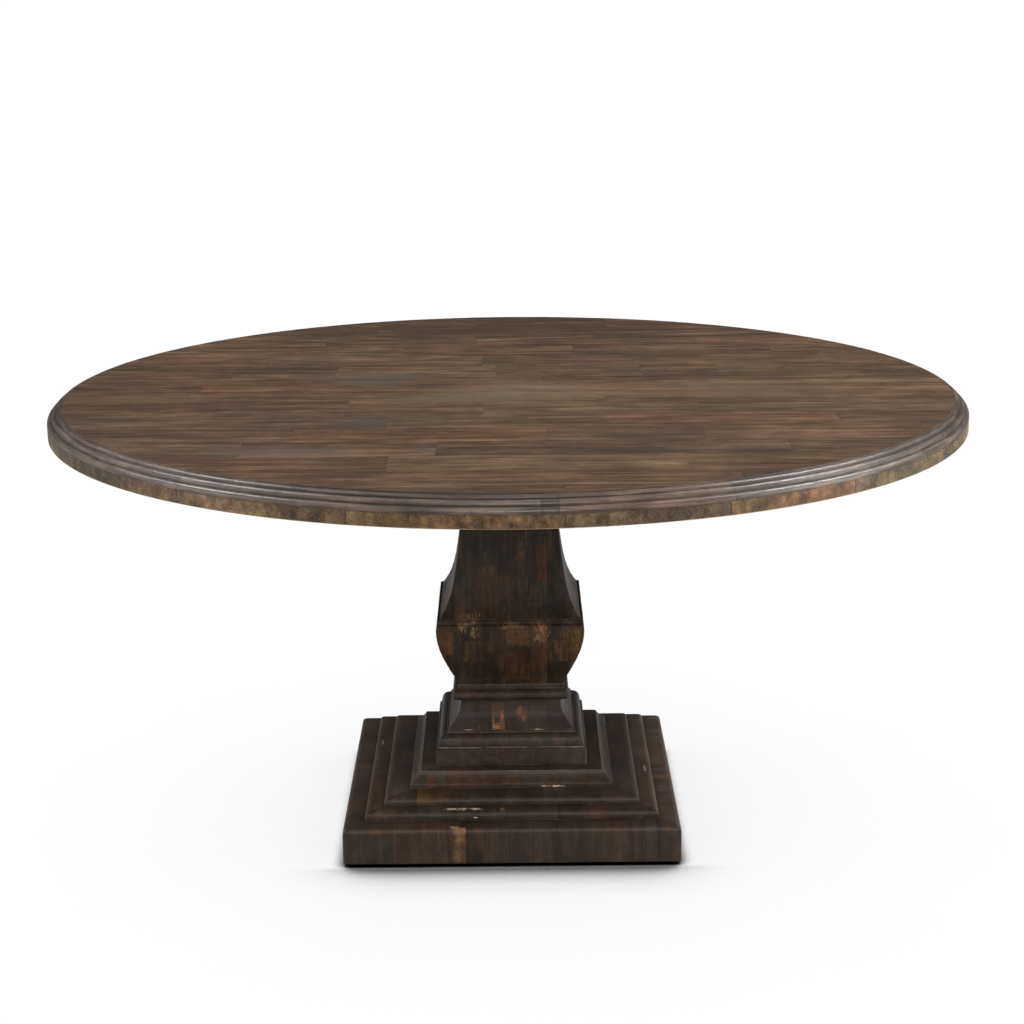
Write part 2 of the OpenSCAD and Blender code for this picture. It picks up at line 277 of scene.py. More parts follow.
                    # the long side of the outermost stave of a solid board
                    jj, _, ss, tt = side_info[0]
                    m = len(jj) if k == 1 else 0
                    tint.append(tt[m]); seedf.append(ss[m]); sb.append((-9, 9, -9, 9))
                elif grain == "y" and k == 2:
                    jj, _, ss, tt = side_info[0]
                    m = int(np.searchsorted(jj, cen[0]))
                    lo = jj[m - 1] if m else -9000
                    hi = jj[m] if m < len(jj) else 9000
                    tint.append(tt[m]); seedf.append(ss[m]); sb.append((-9, 9, lo * MM, hi * MM))
                else:
                    m = int(np.searchsorted(joints, s))
                    lo = joints[m - 1] if m else -9000
                    hi = joints[m] if m < len(joints) else 9000
                    t_, e_ = tj[m], seeds[m]
                    for q_ in patches:
                        if q_[0] == k and q_[1] < s < q_[2] and q_[3] < cen[2] < q_[4]:
                            t_, e_ = np.array(q_[5]) ** patch_soft, seeds[m] + 0.31
                    tint.append(t_); seedf.append(e_)
                    sb.append((-9, 9, lo * MM, hi * MM))
                # painted light: the colour of each side is scaled by its own gain, so the sides read lighter and the
                # front darker
                tint[-1] = np.array(tint[-1]) * gain[k]
    # grain coordinates: x along the grain, y across it
    P = V[:, :3]
    if grain == "y":
        gc = np.stack([P[:, 1], P[:, 0], P[:, 2]], 1)
    else:
        s = np.zeros(len(P))
        for i in range(nr):
            for k in range(4):
                for v in index[i][k]:
                    s[v] = (P[v, 0], P[v, 1], -P[v, 0], -P[v, 1])[k]
                for v in arcs[i][2 * k:2 * k + 2]:
                    s[v] = (P[v, 0], P[v, 1], -P[v, 0], -P[v, 1])[k]
        gc = np.stack([P[:, 2], s, P[:, 2] * 0 + seed * 40.0], 1)
    # hand-finished surface: soft waves, and rubbed, chipped arrises
    wearv, cavv = np.array(wearv), np.array(cavv)
    N = V[:, 3:]
    d = amp * (0.7 * vnoise(P / 46.0, seed) + 0.4 * vnoise(P / 17.0, seed + 3))
    ch = np.clip(vnoise(P / 13.0, seed + 5) * 0.9 + vnoise(P / 5.0, seed + 6) * 0.5 - 0.15, 0, 1.2)
    d = d - np.clip(wearv - 0.12, 0, 1) * (0.10 + chip * ch)
    d[np.isclose(P[:, 2], zt) & (cavv > 0.9)] = 0
    Q = (P + N * d[:, None]) * MM
    ob = new_object(name, Q, F,
                    {"tint": ("FLOAT_COLOR", np.column_stack([np.array(tint), np.ones(len(F))])),
                     "seed": ("FLOAT", seedf), "sb": ("FLOAT_COLOR", sb)},
                    {"wear": ("FLOAT", wearv), "cav": ("FLOAT", cavv),
                     "gc": ("FLOAT_VECTOR", gc * MM)}, mat)
    return ob


# ------------------------------------------------------- material builder
class N:
    """Short forms for building a node tree."""

    def __init__(self, name):
        self.m = bpy.data.materials.new(name)
        self.m.use_nodes = True
        self.t = self.m.node_tree
        self.t.nodes.clear()

    def n(self, kind, **kw):
        x = self.t.nodes.new(kind)
        for k, v in kw.items():
            setattr(x, k, v)
        return x

    def put(self, sock, v):
        if isinstance(v, bpy.types.NodeSocket):
            self.t.links.new(v, sock)
        elif v is not None:
            sock.default_value = v

    def attr(self, name):
        x = self.n("ShaderNodeAttribute", attribute_name=name)
        return x

    def math(self, op, a, b=None, c=None, clamp=False):
        x = self.n("ShaderNodeMath", operation=op, use_clamp=clamp)
        self.put(x.inputs[0], a)
        self.put(x.inputs[1], b)
        if c is not None:
            self.put(x.inputs[2], c)
        return x.outputs[0]

    def vec(self, op, a, b=None, scale=None):
        x = self.n("ShaderNodeVectorMath", operation=op)
        self.put(x.inputs[0], a)
        if b is not None:
            self.put(x.inputs[1], b)
        if scale is not None:
            self.put(x.inputs["Scale"], scale)
        return x.outputs["Value"] if op in ("LENGTH", "DISTANCE", "DOT_PRODUCT") else x.outputs[0]

    def noise(self, v, scale=1.0, detail=2.0, rough=0.5, color=False):
        x = self.n("ShaderNodeTexNoise", noise_dimensions="3D")
        self.put(x.inputs["Vector"], v)
        x.inputs["Scale"].default_value = scale
        x.inputs["Detail"].default_value = detail
        x.inputs["Roughness"].default_value = rough
        return x.outputs["Color"] if color else x.outputs["Fac"]

    def ramp(self, f, stops, interp="LINEAR"):
        x = self.n("ShaderNodeValToRGB")
        x.color_ramp.interpolation = interp
        e = x.color_ramp.elements
        while len(e) < len(stops):
            e.new(0.5)
        for i, (p, c) in enumerate(stops):
            e[i].position = p
            e[i].color = (*c, 1) if len(c) == 3 else c
        self.put(x.inputs[0], f)
        return x.outputs[0]

    def smooth(self, f, lo, hi, a=0.0, b=1.0):
        x = self.n("ShaderNodeMapRange", interpolation_type="SMOOTHSTEP")
        self.put(x.inputs["Value"], f)
        x.inputs["From Min"].default_value = lo
        x.inputs["From Max"].default_value = hi
        x.inputs["To Min"].default_value = a
        x.inputs["To Max"].default_value = b
        return x.outputs[0]

    def lin(self, f, lo, hi, a=0.0, b=1.0):
        x = self.n("ShaderNodeMapRange")
        self.put(x.inputs["Value"], f)
        x.inputs["From Min"].default_value = lo
        x.inputs["From Max"].default_value = hi
        x.inputs["To Min"].default_value = a
        x.inputs["To Max"].default_value = b
        return x.outputs[0]

    def mix(self, f, a, b, mode="MIX"):
        x = self.n("ShaderNodeMix", data_type="RGBA", blend_type=mode, clamp_factor=True)
        self.put(x.inputs[0], f)
        self.put(x.inputs[6], (*a, 1) if isinstance(a, tuple) else a)
        self.put(x.inputs[7], (*b, 1) if isinstance(b, tuple) else b)
        return x.outputs[2]

    def gray(self, f):
        x = self.n("ShaderNodeCombineColor")
        for i in range(3):
            self.put(x.inputs[i], f)
        return x.outputs[0]

    def finish(self, color, rough, bumps, spec=0.5, coat=0.0, coat_rough=0.3, metal=0.0):
        b = self.n("ShaderNodeBsdfPrincipled")
        self.put(b.inputs["Base Color"], color)
        self.put(b.inputs["Roughness"], rough)
        b.inputs["Specular IOR Level"].default_value = spec
        b.inputs["Coat Weight"].default_value = coat
        b.inputs["Coat Roughness"].default_value = coat_rough
        b.inputs["Metallic"].default_value = metal
        nrm = None
        for h, dist, strength in bumps:
            x = self.n("ShaderNodeBump")
            x.inputs["Distance"].default_value = dist
            x.inputs["Strength"].default_value = strength
            self.put(x.inputs["Height"], h)
            if nrm is not None:
                self.put(x.inputs["Normal"], nrm)
            nrm = x.outputs[0]
        if nrm is not None:
            self.put(b.inputs["Normal"], nrm)
        o = self.n("ShaderNodeOutputMaterial")
        self.t.links.new(b.outputs[0], o.inputs[0])
        return self.m


def srgb(r, g, b):
    return tuple(((c / 255) / 12.92 if c / 255 <= 0.04045 else ((c / 255 + 0.055) / 1.055) ** 2.4) for c in (r, g, b))


def scaled(c, k):
    return tuple(v * k for v in c)


def wood(name, dark, mid, light, worn, rough=(0.34, 0.5), spec=0.5, coords="gc", swap=(0, 1, 2), wear_amount=1.0,
         cav_amount=0.7, line=0.5, contrast=1.0, blotch=0.22, spots=(), height_shade=None, bump=1.0, tint_amount=1.0,
         flecks=None, streak_across=60.0, mottle=0.0, rust=None, hue_amount=0.75, streak_along=2.6, strokes=None):
    s = N(name)
    if coords == "gc":
        g = s.attr("gc").outputs["Vector"]
        seed = s.attr("seed").outputs["Fac"]
        tint = s.attr("tint").outputs["Color"]
        wear = s.attr("wear").outputs["Fac"]
        cav = s.attr("cav").outputs["Fac"]
        sbn = s.attr("sb")
        sep = s.n("ShaderNodeSeparateColor")
        s.put(sep.inputs[0], sbn.outputs["Color"])
        lo_u, hi_u, lo_v, hi_v = sep.outputs[0], sep.outputs[1], sep.outputs[2], sbn.outputs["Alpha"]
    else:
        tc = s.n("ShaderNodeTexCoord").outputs["Object"]
        sp = s.n("ShaderNodeSeparateXYZ")
        s.put(sp.inputs[0], tc)
        cb = s.n("ShaderNodeCombineXYZ")
        for i in range(3):
            s.put(cb.inputs[i], sp.outputs[swap[i]])
        g, seed, tint, wear, cav = cb.outputs[0], None, None, None, None
    obj = s.n("ShaderNodeTexCoord").outputs["Object"]
    P = g
    if seed is not None:
        off = s.vec("SCALE", (13.7, 9.1, 5.3), scale=seed)
        P = s.vec("ADD", g, off)
    # slow warp, so that the grain wanders
    wv = s.noise(s.vec("MULTIPLY", P, (1.6, 9.0, 9.0)), 1.0, 2.0, 0.5, color=True)
    wv = s.vec("MULTIPLY", s.vec("SUBTRACT", wv, (0.5, 0.5, 0.5)), (0.0, 0.022, 0.022))
    P2 = s.vec("ADD", P, wv)
    streak = s.noise(s.vec("MULTIPLY", P2, (streak_along, streak_across, streak_across)), 1.0, 6.0, 0.70)
    band = s.noise(s.vec("MULTIPLY", P2, (0.9, 21.0, 21.0)), 1.0, 2.0, 0.5)
    fibre = s.noise(s.vec("MULTIPLY", P2, (16.0, 620.0, 620.0)), 1.0, 3.0, 0.6)
    pore_n = s.noise(s.vec("MULTIPLY", P2, (42.0, 1250.0, 1250.0)), 1.0, 1.0, 0.5)
    pore = s.smooth(pore_n, 0.60, 0.70)
    blot = s.noise(obj, 7.5, 3.0, 0.55)
    f = s.math("ADD", s.math("MULTIPLY", streak, 0.72), s.math("MULTIPLY", band, 0.28))
    f = s.math("ADD", s.math("MULTIPLY", s.math("SUBTRACT", f, 0.5), 2.6 * contrast), 0.5, clamp=True)
    col = s.ramp(f, [(0.0, dark), (0.5, mid), (1.0, light)])
    # slow drift of the stain between red-brown, grey and olive
    hue = s.noise(s.vec("MULTIPLY", P2, (1.3, 14.0, 14.0)), 1.0, 1.0, 0.5, color=True)
    hue = s.vec("ADD", s.vec("MULTIPLY", s.vec("SUBTRACT", hue, (0.5, 0.5, 0.5)), (0.55, 0.40, 0.5)), (1.0, 1.0, 1.0))
    col = s.mix(hue_amount, col, hue, "MULTIPLY")
    if mottle:
        # uneven stain: soft patches, a little longer along the grain
        mo = s.noise(s.vec("MULTIPLY", P2, (11.0, 24.0, 24.0)), 1.0, 5.0, 0.66)
        col = s.mix(1.0, col, s.gray(s.lin(mo, 0.28, 0.72, 1 - mottle, 1 + mottle)), "MULTIPLY")
        mo = s.noise(s.vec("MULTIPLY", obj, (31.0, 31.0, 19.0)), 1.0, 6.0, 0.7)
        col = s.mix(1.0, col, s.gray(s.lin(mo, 0.3, 0.7, 1 - mottle * 0.8, 1 + mottle * 0.8)), "MULTIPLY")
    if tint is not None:
        col = s.mix(tint_amount, col, tint, "MULTIPLY")
    col = s.mix(1.0, col, s.gray(s.lin(fibre, 0.25, 0.75, 0.86, 1.14)), "MULTIPLY")
    col = s.mix(1.0, col, s.gray(s.lin(blot, 0.3, 0.7, 1 - blotch, 1 + blotch)), "MULTIPLY")
    col = s.mix(s.math("MULTIPLY", pore, 0.42), col, scaled(dark, 0.45))
    if rust:
        # the stain rubbed through in strokes along the grain
        a1 = s.noise(s.vec("ADD", s.vec("MULTIPLY", P2, (6.5, 17.0, 17.0)), (3.3, 8.8, 1.7)), 1.0, 3.0, 0.6)
        a2 = s.noise(s.vec("MULTIPLY", P2, (24.0, 190.0, 190.0)), 1.0, 3.0, 0.65)
        a3 = s.noise(obj, 95.0, 4.0, 0.7)
        m1 = s.math("MULTIPLY", s.smooth(a1, 0.51, 0.68), s.smooth(s.math("ADD", s.math("MULTIPLY", a2, 0.6), s.math("MULTIPLY", a3, 0.4)), 0.42, 0.62))
        col = s.mix(s.math("MULTIPLY", m1, rust[1]), col, rust[0])
    if flecks:
        # short light flecks of cut fibre
        fl = s.noise(s.vec("MULTIPLY", P2, flecks[1]), 1.0, 2.0, 0.6)
        col = s.mix(s.smooth(fl, flecks[2], flecks[2] + 0.1, 0, flecks[3]), col, flecks[0])
    if height_shade:
        # painted shade: the colour darkens with height, with a ragged boundary
        shade_col, z0, z1, amount = height_shade
        so = s.n("ShaderNodeSeparateXYZ")
        s.put(so.inputs[0], obj)
        zn = s.math("ADD", so.outputs[2], s.math("MULTIPLY", s.math("SUBTRACT", s.noise(obj, 60.0, 3.0, 0.6), 0.5), 0.02))
        col = s.mix(s.math("MULTIPLY", s.smooth(zn, z1, z0), amount), col, shade_col, "MIX")
    ragged = s.math("MULTIPLY", s.math("SUBTRACT", streak, 0.5), 3.2)
    if strokes:
        rg = s.noise(s.vec("MULTIPLY", obj, strokes[0]), 1.0, 3.0, 0.7)
        rg = s.math("ADD", s.math("MULTIPLY", rg, 0.65), s.math("MULTIPLY", s.noise(obj, 170.0, 4.0, 0.7), 0.35))
        ragged = s.math("MULTIPLY", s.math("SUBTRACT", rg, 0.47), strokes[1])
    for sx, sy, sz, rx, ry, rz, c, k in spots:
        v = s.vec("SUBTRACT", obj, (sx, sy, sz))
        v = s.vec("MULTIPLY", v, (1 / rx, 1 / ry, 1 / rz))
        d = s.vec("LENGTH", v)
        d = s.math("ADD", d, ragged)
        col = s.mix(s.smooth(d, 1.2, 0.3, 0, k * 0.62), col, c)
    heights = []
    line_h = None
    if coords == "gc" and line > 0:
        gs = s.n("ShaderNodeSeparateXYZ")
        s.put(gs.inputs[0], g)
        wob = s.math("MULTIPLY", s.math("SUBTRACT", s.noise(obj, 45.0, 2.0, 0.5), 0.5), 0.0012)
        du = s.math("MINIMUM", s.math("SUBTRACT", gs.outputs[0], lo_u), s.math("SUBTRACT", hi_u, gs.outputs[0]))
        dv = s.math("MINIMUM", s.math("SUBTRACT", gs.outputs[1], lo_v), s.math("SUBTRACT", hi_v, gs.outputs[1]))
        d = s.math("ADD", s.math("MINIMUM", du, dv), wob)
        ln = s.smooth(d, 0.0013, 0.0003)
        ln = s.math("MULTIPLY", ln, s.lin(s.noise(obj, 12.0, 2.0, 0.5), 0.35, 0.65, 0.35, 1.0))
        col = s.mix(s.math("MULTIPLY", ln, line), col, scaled(dark, 0.3))
        line_h = s.math("MULTIPLY", ln, -1.0)
    if cav is not None:
        # painted shade, with some glaze, in the hollows: the colour darkens where cav is high
        cn = s.math("MULTIPLY", cav, s.lin(s.noise(obj, 30.0, 3.0, 0.6), 0.3, 0.7, 0.55, 1.2))
        col = s.mix(s.math("MULTIPLY", cn, cav_amount, clamp=True), col, scaled(dark, 0.28))
        # rubbed arrises: broken light lines
        wn = s.noise(obj, 55.0, 4.0, 0.65)
        wn2 = s.noise(obj, 14.0, 2.0, 0.5)
        wn3 = s.noise(obj, 260.0, 2.0, 0.6)
        thr = s.math("ADD", s.math("ADD", s.math("MULTIPLY", wn, 0.45), s.math("MULTIPLY", wn2, 0.45)), s.math("MULTIPLY", wn3, 0.25))
        wm = s.math("ADD", wear, s.math("SUBTRACT", thr, 1.0))
        wm = s.smooth(wm, 0.18, 0.50)
        col = s.mix(s.math("MULTIPLY", wm, wear_amount), col, worn)
    r = s.lin(streak, 0.3, 0.7, rough[0], rough[1])
    if cav is not None:
        r = s.math("ADD", r, s.math("MULTIPLY", cav, 0.25))
    bumps = [(fibre, 0.00010 * bump, 0.7), (s.math("MULTIPLY", pore, -1.0), 0.00018 * bump, 0.8),
             (s.noise(obj, 38.0, 3.0, 0.5), 0.0009 * bump, 0.5)]
    if line_h is not None:
        bumps.append((line_h, 0.0003, 0.8))
    return s.finish(col, r, bumps, spec)


# ------------------------------------------------------------- materials
TOP_D, TOP_M, TOP_L = srgb(44, 33, 24), srgb(75, 58, 44), srgb(106, 85, 66)
BASE_D, BASE_M, BASE_L = srgb(33, 27, 22), srgb(57, 47, 39), srgb(86, 71, 57)
grey_green = srgb(84, 82, 76)
spots_top = [
    (-0.225, -0.262, 0.745, 0.055, 0.050, 1, srgb(58, 58, 54), 0.75),
    (-0.125, -0.452, 0.745, 0.026, 0.048, 1, srgb(66, 64, 60), 0.70),
    (-0.33, -0.475, 0.745, 0.13, 0.05, 1, srgb(92, 88, 84), 0.55),
    (-0.07, -0.085, 0.745, 0.16, 0.06, 1, srgb(100, 92, 82), 0.38),
    (0.03, -0.01, 0.745, 0.13, 0.08, 1, srgb(122, 108, 96), 0.35),
    (0.0, 0.62, 0.745, 0.75, 0.22, 1, srgb(46, 34, 26), 0.75),
    (-0.235, 0.09, 0.745, 0.10, 0.07, 1, grey_green, 0.55),
    (-0.02, 0.25, 0.745, 0.045, 0.05, 1, srgb(60, 52, 42), 0.7),
    (0.15, 0.255, 0.745, 0.10, 0.05, 1, srgb(78, 62, 56), 0.6),
    (0.21, 0.145, 0.745, 0.04, 0.03, 1, srgb(66, 62, 56), 0.7),
    (0.23, -0.345, 0.745, 0.09, 0.045, 1, srgb(72, 52, 46), 0.6),
    (0.03, -0.33, 0.745, 0.09, 0.05, 1, srgb(112, 82, 62), 0.3),
    (-0.57, -0.125, 0.745, 0.06, 0.014, 1, srgb(56, 42, 32), 0.8),
    (0.11, 0.60, 0.745, 0.26, 0.07, 1, srgb(60, 42, 32), 0.55),
    (0.60, -0.45, 0.745, 0.12, 0.06, 1, srgb(62, 48, 38), 0.7),
    (-0.55, -0.52, 0.745, 0.10, 0.04, 1, srgb(58, 46, 42), 0.6),
    (0.36, -0.03, 0.745, 0.24, 0.07, 1, srgb(138, 116, 96), 0.24),
    (-0.60, -0.06, 0.745, 0.12, 0.04, 1, srgb(140, 112, 84), 0.22),
]
cream, tan = srgb(226, 204, 176), srgb(176, 140, 96)
spots_base = [
    (-0.100, -0.2305, 0.0830, 0.012, 0.005, 0.0022, cream, 1.5), (-0.080, -0.2305, 0.0830, 0.012, 0.005, 0.0018, cream, 1.4),
    (-0.058, -0.2305, 0.0830, 0.012, 0.005, 0.0020, cream, 1.5), (0.076, -0.1705, 0.0985, 0.015, 0.004, 0.0020, cream, 1.5),
    (0.055, -0.1705, 0.0985, 0.006, 0.004, 0.0016, cream, 1.3), (-0.016, -0.232, 0.082, 0.004, 0.006, 0.002, tan, 1.3),
    (0.013, -0.092, 0.2030, 0.007, 0.012, 0.009, srgb(140, 90, 64), 1.0), (0.022, -0.096, 0.1930, 0.006, 0.012, 0.007, srgb(140, 92, 66), 0.9),
    (-0.024, -0.103, 0.1800, 0.009, 0.010, 0.003, srgb(176, 128, 88), 1.1), (-0.015, -0.094, 0.1960, 0.004, 0.010, 0.012, srgb(160, 100, 72), 1.0),
    (-0.030, -0.100, 0.1860, 0.0025, 0.012, 0.014, tan, 0.6), (-0.072, -0.108, 0.1765, 0.012, 0.006, 0.0015, cream, 0.8),
    (0.046, -0.108, 0.1765, 0.010, 0.006, 0.0015, cream, 0.7), (-0.086, -0.278, 0.0500, 0.008, 0.008, 0.012, srgb(150, 112, 72), 0.9),
    (-0.088, -0.278, 0.0200, 0.009, 0.008, 0.014, srgb(132, 104, 76), 0.8), (-0.140, -0.274, 0.0640, 0.020, 0.008, 0.003, srgb(96, 66, 48), 0.8),
    (-0.060, -0.2435, 0.0725, 0.004, 0.006, 0.002, cream, 1.2), (-0.095, -0.270, 0.0665, 0.008, 0.006, 0.003, tan, 1.3),
    (0.2305, -0.05, 0.083, 0.0025, 0.016, 0.002, cream, 0.9), (0.1705, 0.06, 0.0985, 0.004, 0.012, 0.002, cream, 1.3),
    (0.04, 0.2305, 0.083, 0.014, 0.004, 0.002, cream, 1.3), (-0.2305, 0.09, 0.083, 0.0025, 0.014, 0.002, cream, 0.9),
]
spots_col = [
    (-0.078, -0.121, 0.3650, 0.010, 0.016, 0.010, tan, 0.9), (-0.066, -0.118, 0.3790, 0.012, 0.016, 0.007, tan, 0.8),
    (-0.060, -0.121, 0.3560, 0.008, 0.016, 0.012, tan, 0.7), (0.052, -0.121, 0.3600, 0.010, 0.016, 0.010, srgb(170, 120, 76), 1.2),
    (0.048, -0.124, 0.3450, 0.012, 0.016, 0.008, tan, 0.8), (0.014, -0.124, 0.3520, 0.022, 0.016, 0.018, srgb(112, 84, 54), 0.8),
    (0.002, -0.122, 0.3660, 0.020, 0.016, 0.006, tan, 0.6), (0.03, -0.124, 0.3340, 0.020, 0.016, 0.014, srgb(104, 74, 46), 0.7),
    (-0.108, -0.121, 0.335, 0.014, 0.016, 0.020, srgb(122, 86, 46), 0.8), (0.112, -0.121, 0.335, 0.012, 0.016, 0.022, srgb(126, 98, 50), 0.8),
    (0.121, -0.02, 0.352, 0.016, 0.030, 0.012, tan, 0.9), (-0.121, 0.03, 0.350, 0.016, 0.026, 0.014, tan, 0.9),
    (0.02, 0.121, 0.350, 0.030, 0.016, 0.014, tan, 0.9),
]
m_top = wood("top_stain", TOP_D, TOP_M, TOP_L, srgb(186, 164, 142), rough=(0.38, 0.52), spec=0.26,
             spots=spots_top, line=0.22, wear_amount=0.35, contrast=1.15, mottle=0.22, streak_across=95.0, streak_along=6.5,
             hue_amount=0.5)
m_mould = wood("moulding_stain", scaled(TOP_D, 0.95), srgb(80, 66, 55), srgb(120, 102, 88), srgb(196, 180, 162),
               rough=(0.25, 0.40), spec=0.55, line=0.45, wear_amount=1.0, cav_amount=1.0, tint_amount=0.7, mottle=0.32,
               contrast=1.3, streak_along=8.0, streak_across=130.0)
m_edge = wood("edge_stain", srgb(50, 40, 31), srgb(94, 77, 57), srgb(138, 118, 90), srgb(186, 164, 130),
              rough=(0.4, 0.55), spec=0.35, line=0.4, wear_amount=0.8, cav_amount=0.6, mottle=0.46, contrast=1.2,
              flecks=((0.42, 0.33, 0.18), (900.0, 420.0, 900.0), 0.58, 0.5))
m_base = wood("base_stain", BASE_D, BASE_M, BASE_L, srgb(140, 122, 104), rough=(0.36, 0.50), spec=0.33,
              line=0.28, wear_amount=0.85, cav_amount=0.95, blotch=0.25, contrast=0.5, mottle=0.34, hue_amount=0.5,
              rust=(srgb(104, 68, 42), 0.5), streak_across=85.0, streak_along=5.0, spots=spots_base, strokes=((130.0, 200.0, 500.0), 4.0))
# painted shade: the upper shaft is darkened as if in the table top's shadow
m_col = wood("column_stain", scaled(BASE_D, 0.85), scaled(BASE_M, 0.9), scaled(BASE_L, 1.0), srgb(140, 116, 88), rough=(0.36, 0.50), spec=0.24,
             line=0.22, wear_amount=0.75, cav_amount=0.9, blotch=0.25, contrast=0.55, mottle=0.42, hue_amount=0.5,
             rust=(srgb(118, 82, 48), 0.55), streak_across=110.0, streak_along=9.0, spots=spots_col, strokes=((520.0, 520.0, 90.0), 11.0),
             height_shade=(srgb(27, 22, 17), 0.62, 0.44, 0.62))
m_hid_x = wood("stain_x", BASE_D, BASE_M, BASE_L, BASE_L, coords="obj", swap=(0, 1, 2))
m_hid_y = wood("stain_y", BASE_D, BASE_M, BASE_L, BASE_L, coords="obj", swap=(1, 0, 2))
m_raw = wood("raw_deck", srgb(120, 92, 62), srgb(168, 136, 98), srgb(196, 166, 126), srgb(200, 180, 150),
             coords="obj", swap=(1, 0, 2), rough=(0.6, 0.75), spec=0.3)


def metal(name, c, rough):
    s = N(name)
    tc = s.n("ShaderNodeTexCoord").outputs["Object"]
    a = s.noise(tc, 260.0, 3.0, 0.6)
    b = s.noise(s.vec("MULTIPLY", tc, (40, 40, 900)), 1.0, 2.0, 0.5)
    col = s.mix(s.smooth(a, 0.35, 0.75, 0, 0.55), c, scaled(c, 0.55))
    r = s.lin(b, 0.3, 0.7, rough, rough + 0.18)
    return s.finish(col, r, [(b, 0.00004, 0.4)], 0.5, metal=1.0)


m_steel = metal("zinc_steel", (0.56, 0.57, 0.58), 0.32)
m_brass = metal("brass", (0.72, 0.55, 0.26), 0.30)
s = N("nylon_pad")
tc = s.n("ShaderNodeTexCoord").outputs["Object"]
a = s.noise(tc, 900.0, 3.0, 0.6)
m_pad = s.finish(s.mix(a, (0.018, 0.018, 0.019), (0.035, 0.035, 0.036)), s.lin(a, 0.3, 0.7, 0.45, 0.6),
                 [(a, 0.00005, 0.5)], 0.4)


# ------------------------------------------------------------- table top
R_OUT, R_FLAT, Z_TOP, Z_PANEL, Z_BLOCK = 762.0, 738.6, 745.0, 720.0, 699.0
BLOCK_JOINTS = [-80, -60, -38.5, -24.5, -10.3, 5.8, 24, 41, 58, 80, 104, 128, 152, 176, 202, 228, 254, 280]
ROWS = [-740, -690, -607, -505, -408, -312, -212, -118, -28, 62, 108, 206, 308, 404, 508, 604, 700, 740]
# joints along each row of staves and their tint keys; rows from the front to the back
JOINTS = {
    0: ([-380, 78], "nbr"), 1: ([-133, 330], "bnd"), 2: ([-175, 260], "rlb"), 3: ([-400, -107, 420], "kbnd"),
    4: ([-330, 60, 300], "nrnl"), 5: ([-190, 150, 520], "nnrd"), 6: ([-470, -40, 310], "bnln"),
    7: ([-260, 160, 560], "lgnb"), 8: ([-520, -150, 250], "nrll"), 9: ([-300, 60, 420], "rlbn"),
    10: ([-480, -300, -20, 232, 365], "ndnbdn"), 11: ([-430, -45, 10, 225, 560], "rndrbn"),
    12: ([-190, 120, 480], "lbnl"), 13: ([-340, -60, 250], "nbln"), 14: ([-250, 130], "ndd"),
    15: ([-60, 190], "ndr"), 16: ([40], "dd"),
}


def moulding_profile():
    def ov(r0, z0, r1, z1, n=6):
        return [(r0 + (r1 - r0) * math.sin(math.radians(90 * i / n)), z1 + (z0 - z1) * math.cos(math.radians(90 * i / n)))
                for i in range(n + 1)]
    r, z = R_OUT, Z_TOP
    p = [(r - 23.4, z), (r - 23.4, z - 1.5)]
    p += ov(r - 22.6, z - 1.5, r - 15.6, z - 6.2)
    p += [(r - 15.6, z - 7.4)] + ov(r - 15.0, z - 7.4, r - 7.8, z - 14.4)
    p += [(r - 7.8, z - 15.8)] + ov(r - 7.2, z - 15.8, r, z - 23.2)
    p += [(r, Z_PANEL)]
    return p[::-1]      # bottom to top, so that outside is to the right


